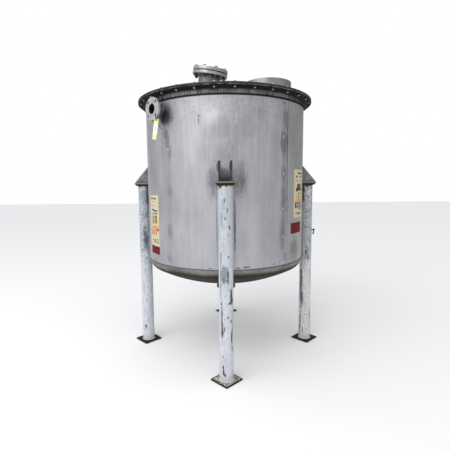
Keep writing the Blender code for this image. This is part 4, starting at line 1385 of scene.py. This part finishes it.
def set_out(grid, number):
    """A piece drawn with +X straight out from the tank's axis, turned to a leg's azimuth."""
    azimuth = leg_azimuth(number)
    across = np.array([math.cos(azimuth), math.sin(azimuth), 0.0])
    x, y, z = np.moveaxis(grid[..., None], -2, 0)
    return x * on_circle(1.0, azimuth, 0.0) + y * across + z * UP


def rusty(name, orange=0.35):
    """Dark rust, with orange bloom in patches and a grainy surface."""
    material, tree, shader = plain_material(name, DARK_RUST_AND_SHADE, 0.85, 0.2)
    bloom = clouds(tree, 45.0)
    colour = tinted(tree, DARK_RUST_AND_SHADE, clouds(tree, 160.0), 0.5)
    colour = blend(tree, between(tree, bloom, 0.9 - 0.6 * orange, 1.2 - 0.4 * orange), colour, RUST_ORANGE)
    dress(tree, shader, colour, bump=(clouds(tree, 260.0), 0.0008, 0.6))
    return material, tree, shader, colour


rust = rusty("rust")[0]
painted_foot, tree, shader, colour = rusty("painted_foot", 0.2)
place = node(tree, "SeparateXYZ", {0: node(tree, "TexCoord").outputs["Object"]}).outputs
from_middle = maths(tree, "ADD", place["Y"], LEG_CIRCLE)
reach = maths(tree, "ADD", maths(tree, "ABSOLUTE", place["X"]), maths(tree, "ABSOLUTE", from_middle))
wobble = maths(tree, "MULTIPLY", clouds(tree, 60.0), 0.012)
within = between(tree, maths(tree, "ADD", reach, wobble), FOOT_TIP - 0.004, FOOT_TIP - 0.014)
on_top = between(tree, place["Z"], FOOT_THICKNESS - 0.0015, FOOT_THICKNESS - 0.0005)
scuffs = maths(tree, "MULTIPLY", flecks(tree, 60.0, 0.36, 0.15), 0.75)
unscuffed = maths(tree, "SUBTRACT", 1.0, scuffs, clamp=True)
faded = tinted(tree, FOOT_PAINT, clouds(tree, 40.0), 0.3)
dress(tree, shader, covered(tree, colour, faded, within, on_top, unscuffed))

foot_outline = eased([(FOOT_TIP, 0.0), (0.0, FOOT_TIP), (-FOOT_TIP, 0.0), (0.0, -FOOT_TIP)], 0.004)[:-1]
foot = plate(foot_outline + np.array([LEG_CIRCLE, 0.0]), 0.0, FOOT_THICKNESS, FOOT_EDGE)
for number in range(LEG_COUNT):
    material = painted_foot if number == 0 else rust
    name = number + 1
    piece(f"foot_{name}", [set_out(foot, number)], material, [f"foot_plate_{name}"])
    path, out = circle_path(LEG_RADIUS, FOOT_THICKNESS)
    weld = bead(path + leg_centre(number), out, LEG_WELD)
    piece(f"foot_weld_{name}", [weld], paints[number])


# Side lugs and leg caps
# Each lug is a level plate welded to the wall, stiffened by two upright triangles. A rusty cap plate, welded
# on the leg's top, lies under it. The plates' inner edges are cut to the wall's curve.
LUG_BOTTOM = 1.624
LUG_THICKNESS = 0.015
LUG_HALF_WIDTH = 0.0775
LUG_REACH = 0.900
CAP_TOP = 1.6237
CAP_THICKNESS = 0.0127
CAP_HALF_WIDTH = 0.0690
CAP_REACH = 0.8905
GUSSET_OFFSET = 0.048
GUSSET_THICKNESS = 0.010
GUSSET_TOP = 1.806
GUSSET_REACH = 0.895
GUSSET_NOSE = 0.008
PLATE_EDGE = 0.0012
LUG_WELD = 0.0040
LUG_GREY = (0.17, 0.175, 0.18)
LUG_TAN = (0.21, 0.178, 0.142)
LUG_SHADE_DARK = (0.050, 0.052, 0.056)
WALL_FACE = WALL_RADIUS + WELD_GAP


def notched(half_width, reach, low, high):
    """A plate from the wall out to its reach, its inner edge an arc of the wall."""
    across = np.linspace(half_width, -half_width, 17)
    arc = np.stack([np.sqrt(WALL_FACE**2 - across**2), across], -1)
    outer = eased([(reach, -half_width), (reach, half_width), arc[0], arc[-1]], 0.003)[:8]
    return plate(np.concatenate([outer, arc]), low, high, PLATE_EDGE)


def lug_finish(name, web_colour, shelf_colour):
    """Dull scuffed steel, its level plate in a colour of its own, painted dark underneath as the shade under
    it.
    """
    material, tree, shader = plain_material(name, web_colour, 0.5, 0.7)
    place = place_round(tree)
    worn = clouds(tree, 24.0)
    colour = tinted(tree, web_colour, worn, 0.45)
    colour = tinted(tree, colour, grain(tree, 90.0, 30.0), 0.2)
    shelf_top = LUG_BOTTOM + LUG_THICKNESS
    shelf = between(tree, place["Height"], shelf_top + 0.002, shelf_top - 0.001)
    colour = covered(tree, colour, shelf_colour, shelf, 0.85)
    # The plate's lowest edge is painted dark rust brown as the shade under it.
    colour = blend(tree, between(tree, place["Height"], LUG_BOTTOM + 0.004, LUG_BOTTOM), colour, DARK_RUST_AND_SHADE)
    dress(tree, shader, colour, (worn, 0.40, 0.65), (clouds(tree, 180.0), 0.0004, 0.4))
    return material


# The front lug's webs are painted darker than the same steel on the other lugs, as the shade on them.
front_lug = lug_finish("front_lug", LUG_SHADE_DARK, LUG_TAN)
other_lug = lug_finish("other_lug", LUG_GREY, LUG_GREY)
lug_plate = notched(LUG_HALF_WIDTH, LUG_REACH, LUG_BOTTOM, LUG_BOTTOM + LUG_THICKNESS)
leg_cap = notched(CAP_HALF_WIDTH, CAP_REACH, CAP_TOP - CAP_THICKNESS, CAP_TOP)
gusset_foot = LUG_BOTTOM + LUG_THICKNESS
half = GUSSET_THICKNESS / 2
gusset_wall = math.sqrt(WALL_FACE**2 - (GUSSET_OFFSET - half) ** 2)
gusset_outline = eased(
    [(gusset_wall, gusset_foot), (GUSSET_REACH, gusset_foot), (GUSSET_REACH, gusset_foot + GUSSET_NOSE),
     (gusset_wall, GUSSET_TOP)],
    0.0015,
)[:-1]
gusset = plate(gusset_outline, -half, half, PLATE_EDGE)[..., [0, 2, 1]]
for number in range(LEG_COUNT):
    name = number + 1
    lug_steel = other_lug if number else front_lug
    shelf = set_out(lug_plate, number)
    piece(f"lug_shelf_{name}", [shelf], lug_steel, [f"lug_plate_{name}"])
    piece(f"cap_{name}", [set_out(leg_cap, number)], rust, [f"leg_cap_{name}"])
    weld_lines = []
    for side, hand in ((-1, "a"), (1, "b")):
        web = set_out(gusset + np.array([0.0, side * GUSSET_OFFSET, 0.0]), number)
        piece(f"lug_web_{name}{hand}", [web], lug_steel, [f"lug_gusset_{name}{hand}"])
        for face in (-1.0, 1.0):
            y = side * GUSSET_OFFSET + face * half
            corner = (math.sqrt(WALL_RADIUS**2 - y**2), y, gusset_foot)
            up_wall = np.array([corner, (corner[0], y, GUSSET_TOP - 0.004)])
            along_shelf = np.array([corner, (GUSSET_REACH - 0.003, y, gusset_foot)])
            weld_lines.append(set_out(bead(up_wall, (1.0, face, 0.0), LUG_WELD), number))
            weld_lines.append(set_out(bead(along_shelf, (0.0, face, 1.0), LUG_WELD), number))
    shelf_azimuths = leg_azimuth(number) + np.linspace(-1.0, 1.0, 41) * LUG_HALF_WIDTH / WALL_RADIUS
    for height, tilt in ((gusset_foot, 1.0), (LUG_BOTTOM, -1.0)):
        seam = on_circle(WALL_RADIUS, shelf_azimuths, height)
        weld_lines.append(bead(seam, on_circle(1.0, leg_azimuth(number), tilt), LUG_WELD))
    piece(f"lug_welds_{name}", weld_lines, lug_steel)
    path, out = circle_path(LEG_RADIUS, CAP_TOP - CAP_THICKNESS)
    weld = bead(path + leg_centre(number), out, LEG_WELD)
    piece(f"cap_weld_{name}", [weld], rust)


# Labels
# Two tall printed plastic strips with a plain red patch under each, stuck on the wall beside the left and
# right legs. What is printed on the strips is shown as plain blocks of its colours.
FILM_THICKNESS = 0.0004
FILM_GLUE = 0.00005
FILM_SPECULAR = 0.10
FILM_YELLOW = (0.58, 0.525, 0.35)
FILM_RED = (0.130, 0.005, 0.010)
INK_DARK = (0.040, 0.032, 0.036)
INK_BLUE = (0.060, 0.060, 0.200)
INK_BROWN = (0.075, 0.030, 0.022)
INK_OCHRE = (0.300, 0.190, 0.070)
INK_ORANGE = (0.640, 0.300, 0.110)
INK_PINK = (0.480, 0.170, 0.110)
INK_GREY = (0.300, 0.250, 0.240)

# Blocks on a strip: from and to across it, from and to down it, as shares of its size, and the colour
LEFT_BLOCKS = (
    (0.12, 0.42, 0.047, 0.080, INK_DARK), (0.48, 0.76, 0.052, 0.080, INK_DARK),
    (0.15, 0.70, 0.122, 0.132, INK_OCHRE), (0.12, 0.66, 0.198, 0.210, INK_OCHRE),
    (0.22, 0.50, 0.270, 0.305, INK_BLUE), (0.45, 0.88, 0.290, 0.322, INK_BLUE),
    (0.30, 0.50, 0.348, 0.380, INK_BROWN), (0.58, 0.82, 0.345, 0.375, INK_BROWN),
    (0.28, 0.50, 0.395, 0.570, INK_OCHRE), (0.56, 0.82, 0.395, 0.560, INK_OCHRE),
    (0.62, 0.78, 0.410, 0.440, INK_BROWN), (0.15, 0.95, 0.600, 0.660, INK_ORANGE),
    (0.15, 0.30, 0.670, 0.800, INK_PINK), (0.40, 0.55, 0.660, 0.790, INK_PINK),
    (0.62, 0.76, 0.660, 0.780, INK_PINK), (0.80, 0.96, 0.650, 0.700, INK_BROWN),
    (0.30, 0.64, 0.880, 0.900, INK_BROWN), (0.45, 0.60, 0.905, 0.940, INK_BROWN),
    (0.72, 0.90, 0.865, 0.885, INK_BROWN), (0.70, 0.92, 0.915, 0.940, INK_BROWN),
)
RIGHT_BLOCKS = (
    (0.30, 0.90, 0.060, 0.090, INK_DARK), (0.17, 0.34, 0.130, 0.165, INK_BROWN),
    (0.60, 0.80, 0.130, 0.165, INK_BROWN), (0.15, 0.42, 0.222, 0.242, INK_OCHRE),
    (0.66, 0.80, 0.222, 0.242, INK_OCHRE), (0.34, 0.92, 0.295, 0.440, INK_GREY),
    (0.30, 0.62, 0.300, 0.440, INK_BROWN), (0.18, 0.40, 0.380, 0.460, INK_BROWN),
    (0.62, 0.92, 0.400, 0.440, INK_BROWN), (0.40, 0.52, 0.480, 0.540, INK_OCHRE),
    (0.60, 0.80, 0.480, 0.510, INK_OCHRE), (0.20, 0.90, 0.550, 0.595, INK_ORANGE),
    (0.16, 0.92, 0.612, 0.660, INK_ORANGE), (0.11, 0.26, 0.675, 0.805, INK_DARK),
    (0.28, 0.90, 0.675, 0.800, INK_GREY), (0.28, 0.90, 0.678, 0.692, INK_BROWN),
    (0.28, 0.90, 0.785, 0.800, INK_DARK), (0.50, 0.70, 0.812, 0.840, INK_DARK),
    (0.14, 0.72, 0.900, 0.922, INK_DARK), (0.42, 0.66, 0.926, 0.945, INK_DARK),
)

# A block: the larger of the two distances from its middle, in half sizes, is under 1 inside
BLOCK, given, result = new_group(
    "block", [("Here", "Vector"), ("At", "Vector"), ("Half Size", "Vector")], [("Mask", "Float")]
)
sized = vectors(BLOCK, "DIVIDE", vectors(BLOCK, "SUBTRACT", given["Here"], given["At"]), given["Half Size"])
axes = node(BLOCK, "SeparateXYZ", {0: vectors(BLOCK, "ABSOLUTE", sized)}).outputs
farther = maths(BLOCK, "MAXIMUM", axes["X"], axes["Y"])
BLOCK.links.new(between(BLOCK, farther, 1.1, 0.8), result.inputs["Mask"])


def closing_strips(front, back):
    """The four strips that join two grids along their edges."""
    strips = [np.stack([front[side], back[side]]) for side in (0, -1)]
    return strips + [np.stack([front[:, side], back[:, side]]) for side in (0, -1)]


def stuck_film(name, west, east, low, high, colour, dirt, blocks=()):
    """A thin printed film that follows the wall between two azimuths in degrees and two heights."""
    material, tree, shader = plain_material(name, colour, 0.6)
    shader.inputs["Specular IOR Level"].default_value = FILM_SPECULAR
    place = place_round(tree)
    across = maths(tree, "DIVIDE", maths(tree, "SUBTRACT", place["Azimuth"], west), east - west)
    down = maths(tree, "DIVIDE", maths(tree, "SUBTRACT", high, place["Height"]), high - low)
    here = node(tree, "CombineXYZ", {0: across, 1: down}).outputs[0]
    shade = colour
    for left, right, top, bottom, ink in blocks:
        values = {
            "Here": here, "At": ((left + right) / 2, (top + bottom) / 2, 0.0),
            "Half Size": ((right - left) / 2, (bottom - top) / 2, 1.0),
        }
        shade = blend(tree, use(tree, BLOCK, values)["Mask"], shade, ink)
    shade = tinted(tree, shade, clouds(tree, 60.0), 0.15)
    dress(tree, shader, covered(tree, shade, dirt, flecks(tree, 120.0, 0.25, 0.1), 0.35))
    azimuth, height = np.meshgrid(np.radians(np.linspace(west, east, 17)), np.linspace(low, high, 33))
    radius = wall_radius(azimuth, height)
    front, back = (on_circle(radius + off, azimuth, height) for off in (FILM_THICKNESS, FILM_GLUE))
    piece(name, [front, back, *closing_strips(front, back)], material)


stuck_film("label_strip_left", -66.0, -50.8, 1.068, 1.525, FILM_YELLOW, STAIN_AND_SHADE, LEFT_BLOCKS)
stuck_film("label_red_left", -64.7, -50.8, 0.993, 1.063, FILM_RED, SOOT_AND_SHADE)
stuck_film("label_strip_right", 52.6, 70.0, 1.316, 1.745, FILM_YELLOW, STAIN_AND_SHADE, RIGHT_BLOCKS)
stuck_film("label_red_right", 49.0, 66.0, 1.175, 1.272, FILM_RED, SOOT_AND_SHADE)


# Tag and tie
# A narrow plastic tag, yellow at its ends and white between, hangs from the side branch. A black plastic
# tie holds it through the flange's lower bolt hole, round its rim, and its two ends stick out.
TAG_WIDTH = 0.037
TAG_LENGTH = 0.163
TAG_THICKNESS = 0.0012
TAG_CORNER = 0.005
TAG_HOLE = 0.0040
TAG_HOLE_DOWN = 0.012
TAG_LEAN = math.radians(10.0)
TAG_FACING = math.radians(-18.0)
TAG_YELLOW = (0.72, 0.70, 0.26)
TAG_WHITE = (0.80, 0.80, 0.76)
TIE_RADIUS = 0.0028
TIE_BLACK = (0.014, 0.017, 0.012)

tag_plastic, tree, shader = plain_material("tag_plastic", TAG_WHITE, 0.4)
uv = node(tree, "SeparateXYZ", {0: node(tree, "UVMap", uv_map="print").outputs[0]}).outputs
from_middle = maths(tree, "ABSOLUTE", maths(tree, "SUBTRACT", uv["X"], 0.5))
from_centre = maths(tree, "ABSOLUTE", maths(tree, "SUBTRACT", uv["Y"], 0.48))
colour = blend(tree, between(tree, from_centre, 0.24, 0.26), TAG_WHITE, TAG_YELLOW)
stripe = [between(tree, from_middle, 0.10, 0.06), between(tree, from_centre, 0.20, 0.18)]
colour = covered(tree, colour, INK_GREY, *stripe, 0.8)
dress(tree, shader, tinted(tree, colour, clouds(tree, 80.0), 0.12))
tie_plastic = plain_material("tie_plastic", TIE_BLACK, 0.45)[0]

# The flange's own frame: across, up and out from its face
side_frame = np.stack([side_across, UP, side_out])
bolt_at = SMALL_BOLT_CIRCLE * math.sqrt(0.5)
rim_at = (SMALL_FLANGE_RADIUS + 0.005) * math.sqrt(0.5)
behind = -SMALL_FLANGE_THICKNESS - SMALL_FACE_HEIGHT - 0.004
tag_top = np.array([0.0776, -0.094, 0.0045])
tag_hole = tag_top + np.array([0.0, -TAG_HOLE_DOWN, 0.0])
loop = eased(
    [(bolt_at, -bolt_at, 0.002), (bolt_at, -bolt_at, behind), (rim_at, -rim_at, behind),
     (rim_at + 0.004, -rim_at - 0.004, -0.002),
     tag_hole + [0.0035, 0.0, -0.003], tag_hole + [0.0, 0.001, 0.005]],
    0.006, 6,
)
tails = (
    ((0.0800, -0.098, 0.0085), (0.058, -0.096, 0.0085), (0.034, -0.098, 0.0075), (0.0098, -0.104, 0.006)),
    ((0.0800, -0.100, -0.001), (0.0830, -0.128, -0.003), (0.0930, -0.148, -0.006), (0.108, -0.165, -0.010),
     (0.129, -0.175, -0.014)),
)
tie_patches = [bead(side_face + loop @ side_frame, side_out + side_across, TIE_RADIUS, 0.0)]
tie_patches += [bead(side_face + np.array(tail) @ side_frame, side_out, TIE_RADIUS, 0.0) for tail in tails]
piece("tag_tie", tie_patches, tie_plastic)

lines_u = hole_lines(-TAG_WIDTH / 2, TAG_WIDTH / 2, 6, 0.0, 2 * TAG_HOLE)
lines_v = hole_lines(-TAG_LENGTH, 0.0, 20, -TAG_HOLE_DOWN, 2 * TAG_HOLE)
corner_lines = np.array([0.0, 0.08, 0.3, 0.6, 1.0]) * TAG_CORNER
lines_v = np.unique(np.concatenate([lines_v[1:-1], -TAG_LENGTH + corner_lines, [0.0, -0.0004, -0.0015]]))
tag_u, tag_v = np.meshgrid(lines_u, lines_v)
tag_u, tag_v, tag_open = open_hole(tag_u, tag_v, 0.0, -TAG_HOLE_DOWN, TAG_HOLE, 2 * TAG_HOLE)
from_end = np.clip(np.minimum(-tag_v, tag_v + TAG_LENGTH), 0.0, TAG_CORNER)
narrower = TAG_CORNER - np.sqrt(np.maximum(TAG_CORNER**2 - (TAG_CORNER - from_end) ** 2, 0.0))
tag_u = tag_u * (1.0 - narrower / (TAG_WIDTH / 2))
tag_across = np.array([math.cos(TAG_FACING), math.sin(TAG_FACING), 0.0])
tag_out = np.array([math.sin(TAG_FACING), -math.cos(TAG_FACING), 0.0])
leaning = math.cos(TAG_LEAN) * tag_across - math.sin(TAG_LEAN) * UP
rising = math.sin(TAG_LEAN) * tag_across + math.cos(TAG_LEAN) * UP
tag_start = side_face + tag_top @ side_frame


def on_tag(u, v, depth):
    """Points of the tag: u across it, v up from its top edge, depth out from its back."""
    return tag_start + u[..., None] * leaning + v[..., None] * rising + depth * tag_out


depths = (TAG_THICKNESS, 0.0)
front, back = (on_tag(tag_u, tag_v, depth) for depth in depths)
edge = hole_edge(0.0, -TAG_HOLE_DOWN, TAG_HOLE)
tag_bore = np.stack([on_tag(*edge, depth) for depth in depths])
tag_patches = [(front, tag_open), (back, tag_open), *closing_strips(front, back), tag_bore]
tag = piece("tag", tag_patches, tag_plastic)

# The print's own map: u across the tag and v up it, from 0 to 1
spots = np.empty(len(tag.data.vertices) * 3)
tag.data.vertices.foreach_get("co", spots)
spots = spots.reshape(-1, 3) - tag_start
print_layer = tag.data.uv_layers.new(name="print")
corners = np.empty(len(tag.data.loops), int)
tag.data.loops.foreach_get("vertex_index", corners)
uv = np.stack([0.5 + spots @ leaning / TAG_WIDTH, 1.0 + spots @ rising / TAG_LENGTH], -1)[corners]
print_layer.data.foreach_set("uv", uv.ravel())


# Hook on the right leg
# A small hook of bent round bar with a short horn over the bend, rusted dark. It is welded on the outer side
# of the leg.
HOOK_RADIUS = 0.0062
HOOK_BLACK = (0.016, 0.012, 0.010)

hook_steel, tree, shader = plain_material("hook_steel", HOOK_BLACK, 0.85)
rust_on_it = clouds(tree, 160.0)
colour = blend(tree, between(tree, rust_on_it, 0.6, 1.0), HOOK_BLACK, RUST_ORANGE)
dress(tree, shader, colour, bump=(rust_on_it, 0.0006, 0.5))
hook = np.array([
    (0.874, 0.0, 1.150), (0.889, 0.0, 1.153), (0.897, 0.0, 1.151), (0.901, 0.0, 1.143), (0.901, 0.0, 1.122),
    (0.898, 0.0, 1.112), (0.889, 0.0, 1.108),
])
hook_tip = np.array([(0.892, 0.0, 1.151), (0.904, 0.0, 1.153), (0.913, 0.0, 1.154)])
hook_bars = [bead(bar, (0.0, -1.0, 0.0), HOOK_RADIUS, 0.0) for bar in (hook, hook_tip)]
piece("leg_hook", hook_bars, hook_steel)
